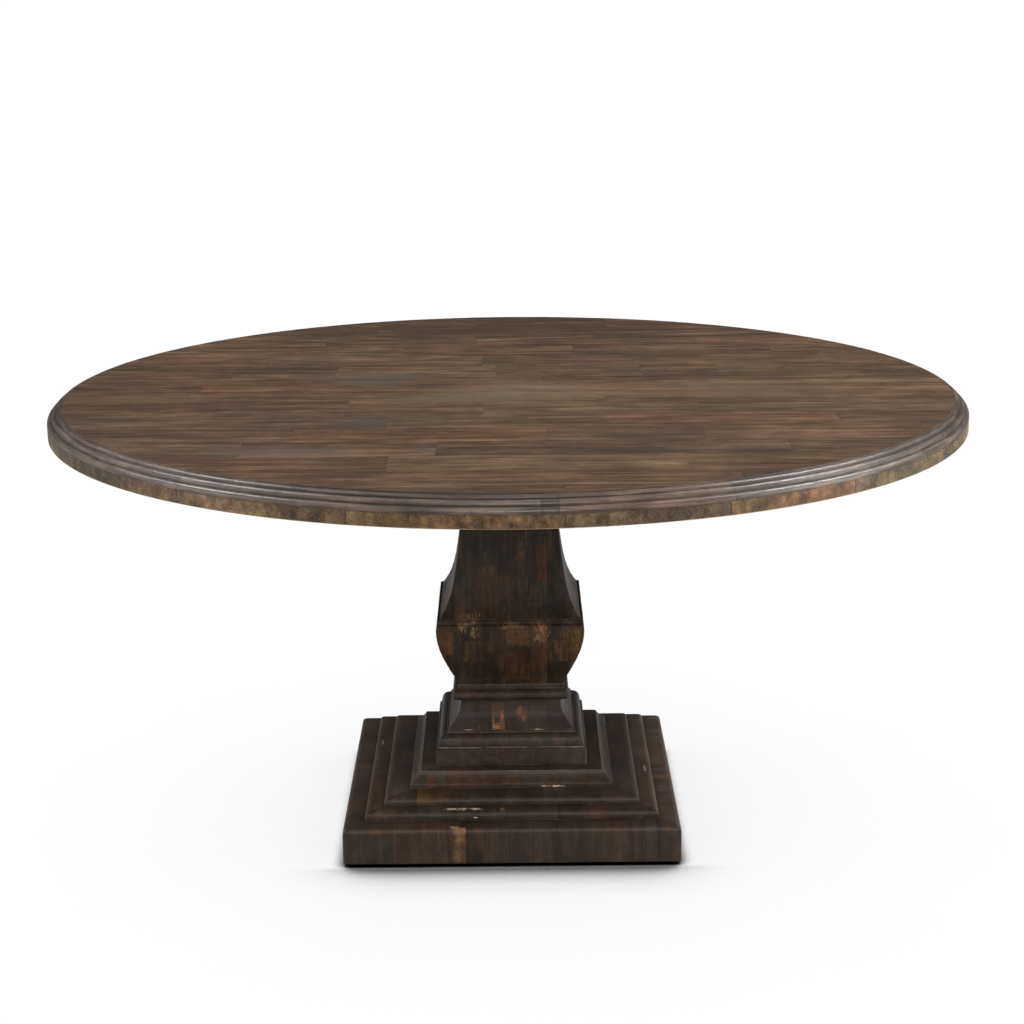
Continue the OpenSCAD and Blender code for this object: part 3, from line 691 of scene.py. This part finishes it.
def top_panel():
    prof = moulding_profile() + [(R_FLAT - 6, Z_TOP)]
    rows = refine(prof, r_vex=0.5, r_cave=0.25, step=2.4)
    n_a = 540
    V, wv, cv = [], [], []
    ang = np.arange(n_a) * 2 * math.pi / n_a
    ca, sa = np.cos(ang), np.sin(ang)
    blocks = []
    for r, z, nr, nz, we, cav in rows:
        V.append(np.stack([r * ca, r * sa, z + 0 * ca, nr * ca, nr * sa, nz + 0 * ca], 1))
        wv += [we] * n_a
        cv += [cav] * n_a
    V = np.vstack(V)
    wv, cv = np.array(wv), np.array(cv)
    P = V[:, :3]
    d = 0.10 * vnoise(P / 38.0, 21) + 0.08 * vnoise(P / 11.0, 22)
    ch = np.clip(vnoise(P / 12.0, 23) * 0.9 + vnoise(P / 4.5, 24) * 0.6 - 0.15, 0, 1.3)
    d = d - np.clip(wv - 0.12, 0, 1) * (0.06 + 0.42 * ch)
    d[-n_a:] = 0
    d[:n_a] = 0
    wv[np.hypot(P[:, 0], P[:, 1]) < R_FLAT + 0.4] *= 0.45
    Q = P + V[:, 3:] * d[:, None]
    bm = bmesh.new()
    lw = bm.verts.layers.float.new("wear")
    lc = bm.verts.layers.float.new("cav")
    vs = []
    for q, w_, c_ in zip(Q, wv, cv):
        v = bm.verts.new(q * MM)
        v[lw], v[lc] = w_, c_
        vs.append(v)
    nrow = len(rows)
    for i in range(nrow - 1):
        for j in range(n_a):
            k = (j + 1) % n_a
            bm.faces.new((vs[i * n_a + j], vs[i * n_a + k], vs[(i + 1) * n_a + k], vs[(i + 1) * n_a + j]))
    top_face = bm.faces.new([vs[(nrow - 1) * n_a + j] for j in range(n_a)])
    low_face = bm.faces.new([vs[j] for j in range(n_a)][::-1])
    bm.verts.ensure_lookup_table()

    def cut(faces, co, no):
        geom = list({e for f in faces for e in f.edges}) + list({v for f in faces for v in f.verts}) + faces
        res = bmesh.ops.bisect_plane(bm, geom=geom, dist=1e-7, plane_co=co, plane_no=no)
        return [g for g in res["geom"] if isinstance(g, bmesh.types.BMFace)]

    for start, z in ((top_face, Z_TOP), (low_face, Z_PANEL)):
        faces = [start]
        for y in ROWS[1:-1]:
            if abs(y) < R_FLAT - 8 or z < 730:
                faces = cut(faces, (0, y * MM, 0), (0, 1, 0))
        faces = [f for f in bm.faces if all(abs(v.co.z - z * MM) < 1e-6 for v in f.verts) and abs(f.normal.z) > 0.9
                 or (abs(f.calc_center_median().z - z * MM) < 1e-5 and len(f.verts) > 8)]
        for i in range(len(ROWS) - 1):
            inside = [f for f in bm.faces if f.is_valid and abs(f.calc_center_median().z - z * MM) < 1e-5
                      and abs(f.calc_center_bounds().x) < 0.7 and ROWS[i] * MM < f.calc_center_bounds().y < ROWS[i + 1] * MM
                      and math.hypot(f.calc_center_bounds().x, f.calc_center_bounds().y) < 0.729 and len(f.verts) > 3
                      and f.calc_area() > 0.0015]
            for x in JOINTS[i][0]:
                if not inside:
                    break
                inside = cut(inside, (x * MM, 0, 0), (1, 0, 0))
                inside = [f for f in inside if f.is_valid]
    for f in bm.faces:
        f.normal_update()
    me = bpy.data.meshes.new("top_panel_wood")
    bm.to_mesh(me)
    bm.free()
    # per-face staves
    nf = len(me.polygons)
    cen = np.zeros(nf * 3)
    me.polygons.foreach_get("center", cen)
    cen = cen.reshape(-1, 3) * 1000
    area = np.zeros(nf)
    me.polygons.foreach_get("area", area)
    rng = stave_rng(77)
    row_seeds = [[rng.random() for _ in range(len(JOINTS[i][0]) + 1)] for i in range(len(ROWS) - 1)]
    row_tint = [[np.array(TINTS[JOINTS[i][1][j % len(JOINTS[i][1])]]) ** 0.27 * rng.uniform(0.96, 1.04) for j in range(len(JOINTS[i][0]) + 1)]
                for i in range(len(ROWS) - 1)]
    MJ = [-180, -152, -118, -97, -71, -56, -38.5, -22, 3.4, 5.2, 24.5, 42, 55.5, 71, 96, 121, 147, 180]
    ms = [rng.random() for _ in MJ]
    mk = ["n", "g", "l", "d", "dd", "d", "n", "k", "d", "R", "l", "l", "n", "k", "l", "g", "n"]
    mtint = [np.array(TINTS[mk[i % len(mk)]]) ** 0.42 for i in range(len(MJ))]
    tint = np.ones((nf, 4))
    seed = np.zeros(nf)
    sb = np.zeros((nf, 4))
    mats = np.zeros(nf, np.int32)
    rr = np.hypot(cen[:, 0], cen[:, 1])
    flat = ((abs(cen[:, 2] - Z_TOP) < 0.3) & (rr < R_FLAT - 1.2)) | (abs(cen[:, 2] - Z_PANEL) < 0.02)
    for i in range(nf):
        x, y, z = cen[i]
        if flat[i]:
            r = max(0, min(len(ROWS) - 2, int(np.searchsorted(ROWS, y)) - 1))
            jj = JOINTS[r][0]
            c = int(np.searchsorted(jj, x))
            tint[i, :3] = row_tint[r][c]
            seed[i] = row_seeds[r][c] + (0.37 if z < 730 else 0)
            sb[i] = ((jj[c - 1] if c else -9000) * MM, (jj[c] if c < len(jj) else 9000) * MM, ROWS[r] * MM, ROWS[r + 1] * MM)
        else:
            th = math.degrees(math.atan2(x, -y))
            c = max(0, min(len(MJ) - 2, int(np.searchsorted(MJ, th)) - 1))
            tint[i, :3] = mtint[c]
            seed[i] = ms[c]
            sb[i] = (math.radians(MJ[c]) * 0.75, math.radians(MJ[c + 1]) * 0.75, -9, 9)
            mats[i] = 1
    put(me, "tint", "FLOAT_COLOR", "FACE", tint)
    put(me, "seed", "FLOAT", "FACE", seed)
    put(me, "sb", "FLOAT_COLOR", "FACE", sb)
    # grain coordinates per corner: along X on the flat faces, round the edge on the moulding
    nl = len(me.loops)
    vi = np.zeros(nl, np.int32)
    me.loops.foreach_get("vertex_index", vi)
    co = np.zeros(len(me.vertices) * 3)
    me.vertices.foreach_get("co", co)
    co = co.reshape(-1, 3)[vi]
    lf = np.zeros(nl, np.int32)
    for p in me.polygons:
        lf[p.loop_start:p.loop_start + p.loop_total] = p.index
    cth = np.arctan2(cen[lf, 0], -cen[lf, 1])
    th = np.arctan2(co[:, 0], -co[:, 1])
    th = th + np.round((cth - th) / (2 * math.pi)) * 2 * math.pi
    g = np.where(flat[lf][:, None], co, np.stack([th * 0.75, np.hypot(co[:, 0], co[:, 1]), co[:, 2]], 1))
    put(me, "gc", "FLOAT_VECTOR", "CORNER", g)
    me.materials.append(m_top)
    me.materials.append(m_mould)
    me.polygons.foreach_set("material_index", mats)
    me.shade_smooth()
    me.set_sharp_from_angle(angle=math.radians(34))
    ob = bpy.data.objects.new("top_panel_wood", me)
    bpy.context.scene.collection.objects.link(ob)
    return ob


def edge_blocks():
    """The ring of blocks under the edge, each with its own bevels."""
    V, F, tint, seed, sb, wear, cav, gc = [], [], [], [], [], [], [], []
    rng = stave_rng(31)
    ap = 692.0
    keys = ["d", "dd", "b", "b", "y", "d", "y", "g", "n", "d", "n", "b", "d", "b", "n", "y", "d"]
    zs = [(699.0, 1.0, 0.9), (699.35, 0.3, 1.0), (700.0, 0.0, 0.8), (701.6, 0, 0.25), (704.5, 0, 0), (708, 0, 0), (711.5, 0, 0),
          (715, 0, 0), (718, 0, 0.0), (719.6, 0.0, 0.0), (719.95, 0.25, 0)]
    for b in range(len(BLOCK_JOINTS) - 1):
        a0, a1 = BLOCK_JOINTS[b], BLOCK_JOINTS[b + 1]
        gap = math.degrees(0.12 / R_OUT)
        half = math.radians((a1 - a0) / 2)
        mid = math.radians((a0 + a1) / 2)
        n = int((a1 - a0) / 0.8) + 2
        bev = math.degrees(0.35 / R_OUT)
        th = [a0 + gap, a0 + gap + bev] + [a0 + gap + bev + (a1 - a0 - 2 * gap - 2 * bev) * k / n for k in range(1, n)] + [a1 - gap - bev, a1 - gap]
        base = len(V)
        nz = len(zs)
        # glued staves within a block, a few degrees each
        nst = max(1, int(round((a1 - a0) / rng.uniform(6.5, 11))))
        cuts = sorted([a0 + (a1 - a0) * (k + rng.uniform(-0.2, 0.2)) / nst for k in range(1, nst)])
        tk = [np.array(TINTS[keys[b]]) ** 0.5 * np.array(TINTS[rng.choice("nndlbrg")]) ** 0.5 * rng.uniform(0.9, 1.1) for _ in range(nst)]
        sd = [rng.random() for _ in range(nst)]
        for i, t in enumerate(th):
            tr = math.radians(t)
            edge = i in (0, len(th) - 1)
            ri = ap / math.cos(tr - mid)
            ring = [(ri + 0.2, zs[0][0] + 0.05, 0, 0)]
            for z, dr, w_ in zs:
                ring.append((R_OUT - dr - (0.3 if edge else 0.0), z, w_ if not edge else 0.8, 0))
            ring.append((ri + 0.2, zs[-1][0], 0, 1))
            for r, z, w_, c_ in ring:
                p = np.array([[r * math.sin(tr), -r * math.cos(tr), z]])
                if r > 750:
                    dd = 0.10 * vnoise(p / 22.0, 41)[0] - 0.10 + (-0.35 * max(0, vnoise(p / 7.0, 43)[0] + 0.1) * w_)
                    r2 = r + min(0, dd)
                else:
                    r2 = r
                V.append((r2 * math.sin(tr), -r2 * math.cos(tr), z))
                wear.append(w_)
                # painted shade where the blocks meet the panel's underside
                cav.append(c_ if r < 750 else (0.8 if z > 719.5 else 0.0))
                # cut fibres: the grain runs into the face
                gc.append((r - 700, tr * 750, z))
        m = len(zs) + 2
        for i in range(len(th) - 1):
            tm = (th[i] + th[i + 1]) / 2
            c = int(np.searchsorted(cuts, tm))
            lo = cuts[c - 1] if c else a0
            hi = cuts[c] if c < len(cuts) else a1
            for j in range(m):
                k = (j + 1) % m
                q = (base + i * m + j, base + (i + 1) * m + j, base + (i + 1) * m + k, base + i * m + k)
                F.append(q)
                tint.append(list(tk[c]) + [1]); seed.append(sd[c])
                sb.append((-9, 9, math.radians(lo) * 0.75, math.radians(hi) * 0.75))
        for i in (0, len(th) - 1):
            q = [base + i * m + j for j in range(m)]
            F.append(q if i else q[::-1])
            tint.append([0.6, 0.6, 0.6, 1]); seed.append(0.2); sb.append((-9, 9, -9, 9))
    V = np.array(V) * MM
    ob = new_object("edge_blocks_wood", V, [tuple(int(v) for v in f) for f in F],
                    {"tint": ("FLOAT_COLOR", tint), "seed": ("FLOAT", seed), "sb": ("FLOAT_COLOR", sb)},
                    {"wear": ("FLOAT", wear), "cav": ("FLOAT", cav), "gc": ("FLOAT_VECTOR", np.array(gc) * MM)}, m_edge)
    return ob


def flip_check(ob):
    """Makes the faces look outward."""
    bm = bmesh.new()
    bm.from_mesh(ob.data)
    bmesh.ops.recalc_face_normals(bm, faces=bm.faces)
    bm.to_mesh(ob.data)
    bm.free()


def own(ob, node):
    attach(ob, "table")
    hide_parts(node)


top = top_panel()
own(top, "top_panel")
edge = edge_blocks()
flip_check(edge)
own(edge, "edge_blocks")


# ------------------------------------------------------ column and base
def hollow(r0, z0, r1, z1, n=6):
    return [(r0 + (r1 - r0) * math.sin(math.radians(90 * i / n)), z0 + (z1 - z0) * (1 - math.cos(math.radians(90 * i / n))))
            for i in range(n + 1)]


def quarter(r0, z0, r1, z1, n=6):
    """Convex quarter: plumb at (r0, z0), level at (r1, z1)."""
    return [(r1 + (r0 - r1) * math.cos(math.radians(90 * i / n)), z0 + (z1 - z0) * math.sin(math.radians(90 * i / n)))
            for i in range(n + 1)]


def four(front, w, seed, keys="nnndlrgkbnd", lo=28, hi=52):
    return [front] + [random_staves(w, seed + 11 * k, lo, hi, keys) for k in (1, 2, 3)]


Z0 = 5.0
shaft_p = [(118.5, 0), (112.5, 9), (107, 19), (102, 31), (97.5, 45), (93.7, 62), (90.5, 82), (87.5, 103), (85, 126), (82.8, 148),
           (81, 175), (80.5, 200), (81.5, 225), (84.5, 248), (90, 266), (90, 275.5)]
bulb_p = [(89.3, 0), (91.5, 6), (95, 15.5), (100.8, 26.5), (107, 40), (113, 54), (118.5, 69), (122, 83), (123.8, 95), (124.3, 105),
          (123.4, 113.2), (121.9, 114.4)]
shaft_st = ([-93, -65, -20, 30, 47, 62, 92], ["n", "n", "n", "d", "n", "b", "d", "k"])
shaft_pt = [(0, -65, -20, 376, 462, (1.45, 1.15, 0.92)), (0, -20, 30, 376, 446, (1.3, 1.12, 0.95)), (0, 47, 62, 434, 498, (2.6, 1.2, 0.8)),
            (0, -93, -72, 374, 384, (2.6, 2.1, 1.3)), (0, -60, -20, 540, 610, (1.2, 1.0, 0.9)), (1, -40, 5, 376, 470, (1.4, 1.1, 0.9)),
            (1, 30, 62, 420, 520, (1.5, 0.95, 0.8)), (2, -62, -14, 376, 448, (1.4, 1.15, 0.9)), (2, 20, 60, 470, 560, (1.3, 1.1, 0.8)),
            (3, -30, 20, 376, 480, (1.35, 1.1, 0.9)), (3, 34, 70, 376, 430, (1.7, 1.2, 0.7))]
bulb_st = ([-96, -70, -35, -8, 33, 62, 98], ["o", "n", "b", "n", "b", "o", "d", "y"])
bulb_pt = [(0, -124, -96, 312, 356, (2.6, 1.45, 0.75)), (0, 98, 124, 318, 362, (2.3, 1.6, 0.8)), (0, 37, 62, 340, 367, (3.0, 2.0, 1.4)),
           (0, 37, 62, 290, 340, (1.9, 1.2, 0.75)), (0, -35, -8, 318, 366, (1.5, 1.2, 0.9)), (0, -8, 33, 330, 366, (1.65, 1.25, 0.9)),
           (0, -8, 33, 262, 318, (1.5, 1.0, 0.75)), (0, -80, -35, 300, 340, (1.4, 1.05, 0.8)), (0, 62, 98, 256, 300, (0.7, 0.7, 0.65)),
           (1, -50, -20, 300, 366, (1.9, 1.3, 0.8)), (1, 30, 70, 330, 366, (2.1, 1.5, 0.9)), (1, -100, -70, 280, 330, (1.6, 1.1, 0.8)),
           (2, -30, 14, 310, 366, (1.7, 1.25, 0.85)), (2, 50, 80, 290, 366, (2.2, 1.4, 0.8)), (3, -70, -36, 320, 366, (1.8, 1.2, 0.8)),
           (3, 0, 44, 280, 350, (1.5, 1.1, 0.8)), (3, 70, 100, 300, 366, (2.0, 1.4, 0.9))]
cove_pt = [(0, -33, -11, 180, 217, (1.9, 1.25, 0.98)), (0, -33, -11, 177, 187, (5.6, 2.9, 2.0)), (0, 12, 27, 192, 212, (1.9, 1.2, 1.0)), (0, -33, -31, 177, 217, (2.8, 2.1, 1.6))]
up_pt = [(0, -142, -128, 96, 116, (2.3, 1.1, 0.8)), (0, -110, 14, 103, 112, (1.8, 1.05, 0.8))]
mid_pt = [(0, -158, -124, 83, 96, (2.1, 1.5, 0.8))]
rail_pt = [(0, -97, -76, 5, 57, (4.4, 3.0, 1.8)), (0, -97, -76, 56, 66.6, (15.0, 9.4, 4.0)), (0, -236, -196, 58, 66, (1.9, 1.0, 0.9)), (0, -62, -48, 30, 66, (1.7, 1.05, 0.8)),
           (0, 152, 196, 58, 66, (1.8, 1.05, 0.85)), (0, -196, -170, 10, 60, (1.3, 1.0, 0.8))]
parts = []


def board(name, node, pts, inner, st, slot="base_wood", mat=None, **kw):
    ob = square_board(name, pts, inner, mat or m_base, st, **kw)
    flip_check(ob)
    own(ob, node)
    parts.append(ob)
    return ob


board("shaft_wood", "shaft_boards", [(64, 374.5), (117.9, 374.5)] + [(w, 374.5 + z) for w, z in shaft_p[0:]] + [(64, 650)], 62,
      four(shaft_st, 118, 3, "nnndbkng"), grain="z", seed=3, cav_low=0, amp=0.22, chip=0.6, mat=m_col, patches=shaft_pt, patch_soft=0.75, soft=0.45)
board("rim_wood", "rim_board", [(20, 367), (121.2, 367), (121.9, 367.6), (122.5, 368.6), (122.5, 373), (121.6, 374.5), (110, 374.5)], 8,
      four(shaft_st, 122, 3, "nnndbkng"), grain="z", seed=4, amp=0.2, chip=0.7, rc=1.6, mat=m_col)
board("bulb_wood", "bulb_boards", [(64, 252), (88.6, 252)] + [(w, 252 + z) for w, z in bulb_p] + [(121.0, 367), (64, 367)], 62,
      four(bulb_st, 123, 6, "nnndbkngo"), grain="z", seed=6, amp=0.22, chip=0.6, mat=m_col, patches=bulb_pt, patch_soft=0.80, soft=0.5)
collar_st = ([-60, -18, 22, 58], ["n", "k", "g", "n", "d"])
board("collar_wood", "neck_collar", [(20, 242.5), (88, 242.5), (88, 244.5), (90.5, 245.1), (90.5, 250.5), (89.8, 252), (70, 252)], 8,
      four(collar_st, 90, 8), grain="y", seed=8, cav_low=2.5)
bead = [(20, 224.5), (85, 224.5), (88.5, 225.3)] + [(90 + 8.5 * math.cos(math.radians(a)), 233.5 + 8.5 * math.sin(math.radians(a))) for a in range(-75, 91, 15)] + \
    [(88, 242.5), (70, 242.5)]
board("bead_wood", "neck_bead", bead, 8, four(([-66, -30, 12, 50], ["n", "b", "n", "r", "n"]), 98, 9), grain="y", seed=9,
      cav_low=2.5, step=4.0)
cove_st = ([-58, -33, -11, 8, 30, 62], ["n", "d", "n", "n", "b", "g", "n"])
cove = [(20, 173.5), (106.5, 173.5), (106.5, 177), (104, 179.3), (98, 186.5), (92, 194.5), (88, 203), (85.9, 211.5), (85, 217.5), (85, 224.5), (60, 224.5)]
board("cove_wood", "cove_foot", cove, 8, four(cove_st, 106, 10), grain="y", seed=10, cav_low=3.0, patches=cove_pt, patch_soft=0.85)
ov = [(20, 149), (124.3, 149), (124.3, 152)] + quarter(123.5, 152, 109.5, 172)[0:] + [(109.5, 173.5), (96, 173.5)]
ovo_st = ([-84, -48, -6, 30, 70], ["n", "r", "n", "b", "g", "n"])
board("ovolo_wood", "ovolo_moulding", ov, 8, four(ovo_st, 124, 12), grain="y", seed=12, cav_low=2.0, cav_high=3.0)
board("block_wood", "foot_block", [(20, 120.5), (127.5, 120.5), (127.5, 147.6), (126, 149), (112, 149)], 8,
      four(([-92, -50, -8, 40, 84], ["k", "n", "n", "b", "n", "k"]), 127, 13), grain="y", seed=13, cav_low=3.0, cav_high=3.0)
up = [(20, 95.5), (170, 95.5), (170, 102.5), (168.5, 104.1), (164, 107.6), (159.5, 111.1), (156, 115.1), (154, 118.7), (153.3, 120.5), (118, 120.5)]
up_st = ([-110, -84, -42, 14, 58, 112], ["n", "R", "r", "n", "k", "n", "d"])
# painted light: the gains on the steps and the plinth make their left and right sides lighter than the front
board("upper_step_wood", "upper_step", up, 8, four(up_st, 170, 14), grain="y", seed=14, cav_low=3.0, cav_high=10.0, patches=up_pt,
      gain=(0.92, 1.3, 1.0, 1.3))
mid_p = [(20, 83), (212.5, 83), (212.5, 86)] + quarter(212.5, 86, 201.5, 95.5)[1:] + [(160, 95.5)]
mid_st = ([-158, -124, -88, -40, 6, 52, 96, 142], ["n", "o", "b", "n", "n", "d", "n", "r", "k"])
board("middle_step_wood", "middle_step", mid_p, 8, four(mid_st, 212, 15), grain="y", seed=15, cav_low=3.0, cav_high=9.0, patches=mid_pt,
      gain=(0.86, 1.4, 1.0, 1.4))
low_p = [(20, 67), (243, 67), (243, 72.5)] + quarter(243, 72.5, 232, 83)[1:] + [(204, 83)]
low_st = ([-180, -138, -96, -52, -8, 38, 76, 118, 166], ["r", "d", "n", "k", "n", "b", "n", "d", "R", "n"])
board("lower_step_wood", "lower_step", low_p, 8, four(low_st, 243, 16), grain="y", seed=16, cav_low=3.0, cav_high=9.0,
      gain=(0.88, 1.6, 1.0, 1.45))
rail_p = [(240, 5), (275.5, 5), (278, 7.5), (278, 58)] + quarter(278, 58, 269, 67)[1:] + [(240, 67)]
rail_st = ([-236, -196, -150, -105, -84, -48, -4, 36, 74, 116, 152, 196, 238],
           ["k", "n", "r", "n", "n", "d", "n", "k", "n", "d", "n", "b", "n", "k"])
# painted shade: cav_low also darkens the plinth's lower arris, against light bounced up from the floor
board("plinth_wood", "plinth_rails", rail_p, 240, four(rail_st, 278, 17), grain="z", seed=17, rc=3.0, amp=0.25, chip=0.8, r_vex=1.4,
      cav_high=6.0, patches=rail_pt, gain=(1.02, 2.0, 1.1, 1.7), cav_low=3.0)

# ------------------------------------------------- carried-over CAD nodes
LOOK = {"top_cleats": m_hid_y, "bearer_long": m_hid_x, "bearer_cross": m_hid_y, "column_cap": m_hid_y,
        "plinth_deck": m_raw, "corner_blocks": m_raw, "threaded_inserts": m_brass}
for n in ("cleat_screws", "top_bolts", "bolt_washers", "cap_lag_screws", "tie_rod", "tie_nuts", "tie_washers", "tee_nuts"):
    LOOK[n] = m_steel
for f in ("fl", "fr", "bl", "br"):
    LOOK["foot_pad_" + f] = m_pad
    LOOK["foot_stem_" + f] = m_steel
for n, m in LOOK.items():
    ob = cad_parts[n]
    if ob.data.materials:
        for i in range(len(ob.data.materials)):
            ob.data.materials[i] = m
    else:
        ob.data.materials.append(m)

# ------------------------------------------------------ stage and light
bpy.ops.mesh.primitive_plane_add(size=24, location=(0, 0, -0.0003))
floor = bpy.context.object
floor.name = "floor"
s = N("pale_floor")
# painted shadow: for camera rays the floor is white emission darkened by ambient occlusion, a contact shadow by the
# plinth and a faint broad shadow under the table
near = s.n("ShaderNodeAmbientOcclusion", samples=12)
near.inputs["Distance"].default_value = 0.028
under = s.n("ShaderNodeAmbientOcclusion", samples=12)
under.inputs["Distance"].default_value = 0.13
wide = s.n("ShaderNodeAmbientOcclusion", samples=8)
wide.inputs["Distance"].default_value = 1.0
gy = s.n("ShaderNodeSeparateXYZ")
s.put(gy.inputs[0], s.n("ShaderNodeTexCoord").outputs["Object"])
# painted contact shadow: the soft boxes sit behind the middle of the table, so the painted dark falls towards the front
front_ = s.smooth(gy.outputs[1], -0.272, -0.290)
kn = s.math("ADD", s.math("MULTIPLY", s.smooth(under.outputs["AO"], 0.50, 0.99, 0.0, 1.0), front_),
            s.math("MULTIPLY", s.smooth(near.outputs["AO"], 0.42, 0.96, 0.0, 1.0), s.math("SUBTRACT", 1.0, front_)))
k = s.math("MULTIPLY", kn, s.smooth(wide.outputs["AO"], 0.25, 0.80, 0.88, 1.0))
em = s.n("ShaderNodeEmission")
s.put(em.inputs["Color"], s.gray(k))
df = s.n("ShaderNodeBsdfDiffuse")
df.inputs["Color"].default_value = (0.38, 0.38, 0.38, 1)
lpf = s.n("ShaderNodeLightPath")
# a little light thrown up under the plinth, seen only from below
gx = s.math("ABSOLUTE", gy.outputs[0])
gx = s.math("MAXIMUM", gx, s.math("ABSOLUTE", gy.outputs[1]))
glow = s.n("ShaderNodeEmission")
s.put(glow.inputs["Color"], s.gray(s.smooth(gx, 0.252, 0.240, 0.0, 0.45)))
dfg = s.n("ShaderNodeAddShader")
s.t.links.new(df.outputs[0], dfg.inputs[0])
s.t.links.new(glow.outputs[0], dfg.inputs[1])
mxf = s.n("ShaderNodeMixShader")
s.put(mxf.inputs[0], lpf.outputs["Is Camera Ray"])
s.t.links.new(dfg.outputs[0], mxf.inputs[1])
s.t.links.new(em.outputs[0], mxf.inputs[2])
of = s.n("ShaderNodeOutputMaterial")
bk = s.n("ShaderNodeNewGeometry")
tr = s.n("ShaderNodeBsdfTransparent")
mxb = s.n("ShaderNodeMixShader")
s.put(mxb.inputs[0], bk.outputs["Backfacing"])
s.t.links.new(mxf.outputs[0], mxb.inputs[1])
s.t.links.new(tr.outputs[0], mxb.inputs[2])
s.t.links.new(mxb.outputs[0], of.inputs[0])
floor.data.materials.append(s.m)

world = bpy.data.worlds.new("studio")
bpy.context.scene.world = world
world.use_nodes = True
wt = world.node_tree
wt.nodes.clear()


class W(N):
    def __init__(self, tree):
        self.t = tree


w = W(wt)
g = w.n("ShaderNodeTexCoord").outputs["Generated"]
sx = w.n("ShaderNodeSeparateXYZ")
w.put(sx.inputs[0], g)
up_ = w.smooth(sx.outputs[2], 0.1, 0.95)
side_ = w.smooth(w.math("ABSOLUTE", sx.outputs[0]), 0.30, 0.95)
back_ = w.smooth(sx.outputs[1], 0.0, 0.9)
lum = w.math("ADD", w.math("MULTIPLY", up_, 0.35), w.math("MULTIPLY", side_, 0.50))
lum = w.math("ADD", lum, 0.34)
lum = w.math("SUBTRACT", lum, w.math("MULTIPLY", back_, 0.34))
lum = w.math("MAXIMUM", lum, 0.02)
bg = w.n("ShaderNodeBackground")
w.put(bg.inputs["Color"], w.gray(lum))
bg.inputs["Strength"].default_value = 1.0
white = w.n("ShaderNodeBackground")
white.inputs["Color"].default_value = (1, 1, 1, 1)
white.inputs["Strength"].default_value = 1.0
lp = w.n("ShaderNodeLightPath")
mx = w.n("ShaderNodeMixShader")
wt.links.new(lp.outputs["Is Camera Ray"], mx.inputs[0])
wt.links.new(bg.outputs[0], mx.inputs[1])
wt.links.new(white.outputs[0], mx.inputs[2])
wo = w.n("ShaderNodeOutputWorld")
wt.links.new(mx.outputs[0], wo.inputs[0])


def area(name, loc, target, size, power, size_y=None):
    d = bpy.data.lights.new(name, "AREA")
    d.shape = "RECTANGLE"
    d.size = size
    d.size_y = size_y or size
    d.energy = power
    o = bpy.data.objects.new(name, d)
    bpy.context.scene.collection.objects.link(o)
    o.location = loc
    o.rotation_euler = (Vector(target) - Vector(loc)).to_track_quat("-Z", "Y").to_euler()
    return o


area("left_high", (-2.4, 0.45, 3.5), (0, -0.2, 0.4), 1.1, 62)
area("right_high", (2.5, 0.35, 3.4), (0, -0.2, 0.4), 1.1, 112)
area("left_box", (-3.6, -1.2, 1.2), (0, 0, 0.2), 1.5, 26, 1.8)
area("right_box", (3.6, -1.2, 1.2), (0, 0, 0.2), 1.5, 66, 1.8)
area("front_fill", (0.3, -4.1, 3.2), (0, 0, 0.1), 2.0, 54, 1.0)

# ----------------------------------------------------------------- camera
cd = bpy.data.cameras.new("cam")
cd.sensor_width = 36.0
cd.lens = 2272 * 36.0 / 1024
cam = bpy.data.objects.new("cam", cd)
bpy.context.scene.collection.objects.link(cam)
rot = Matrix.Rotation(math.radians(90 - 14.25), 4, "X") @ Matrix.Rotation(math.radians(-0.55), 4, "Z")
cam.matrix_world = Matrix.Translation((0.005, -3.754, 1.484)) @ rot
bpy.context.scene.camera = cam
bpy.context.scene.view_settings.view_transform = "Standard"
bpy.context.scene.view_settings.look = "None"
bpy.context.scene.view_settings.exposure = 0.0
bpy.context.scene.view_settings.gamma = 1.0

bpy.context.view_layer.update()
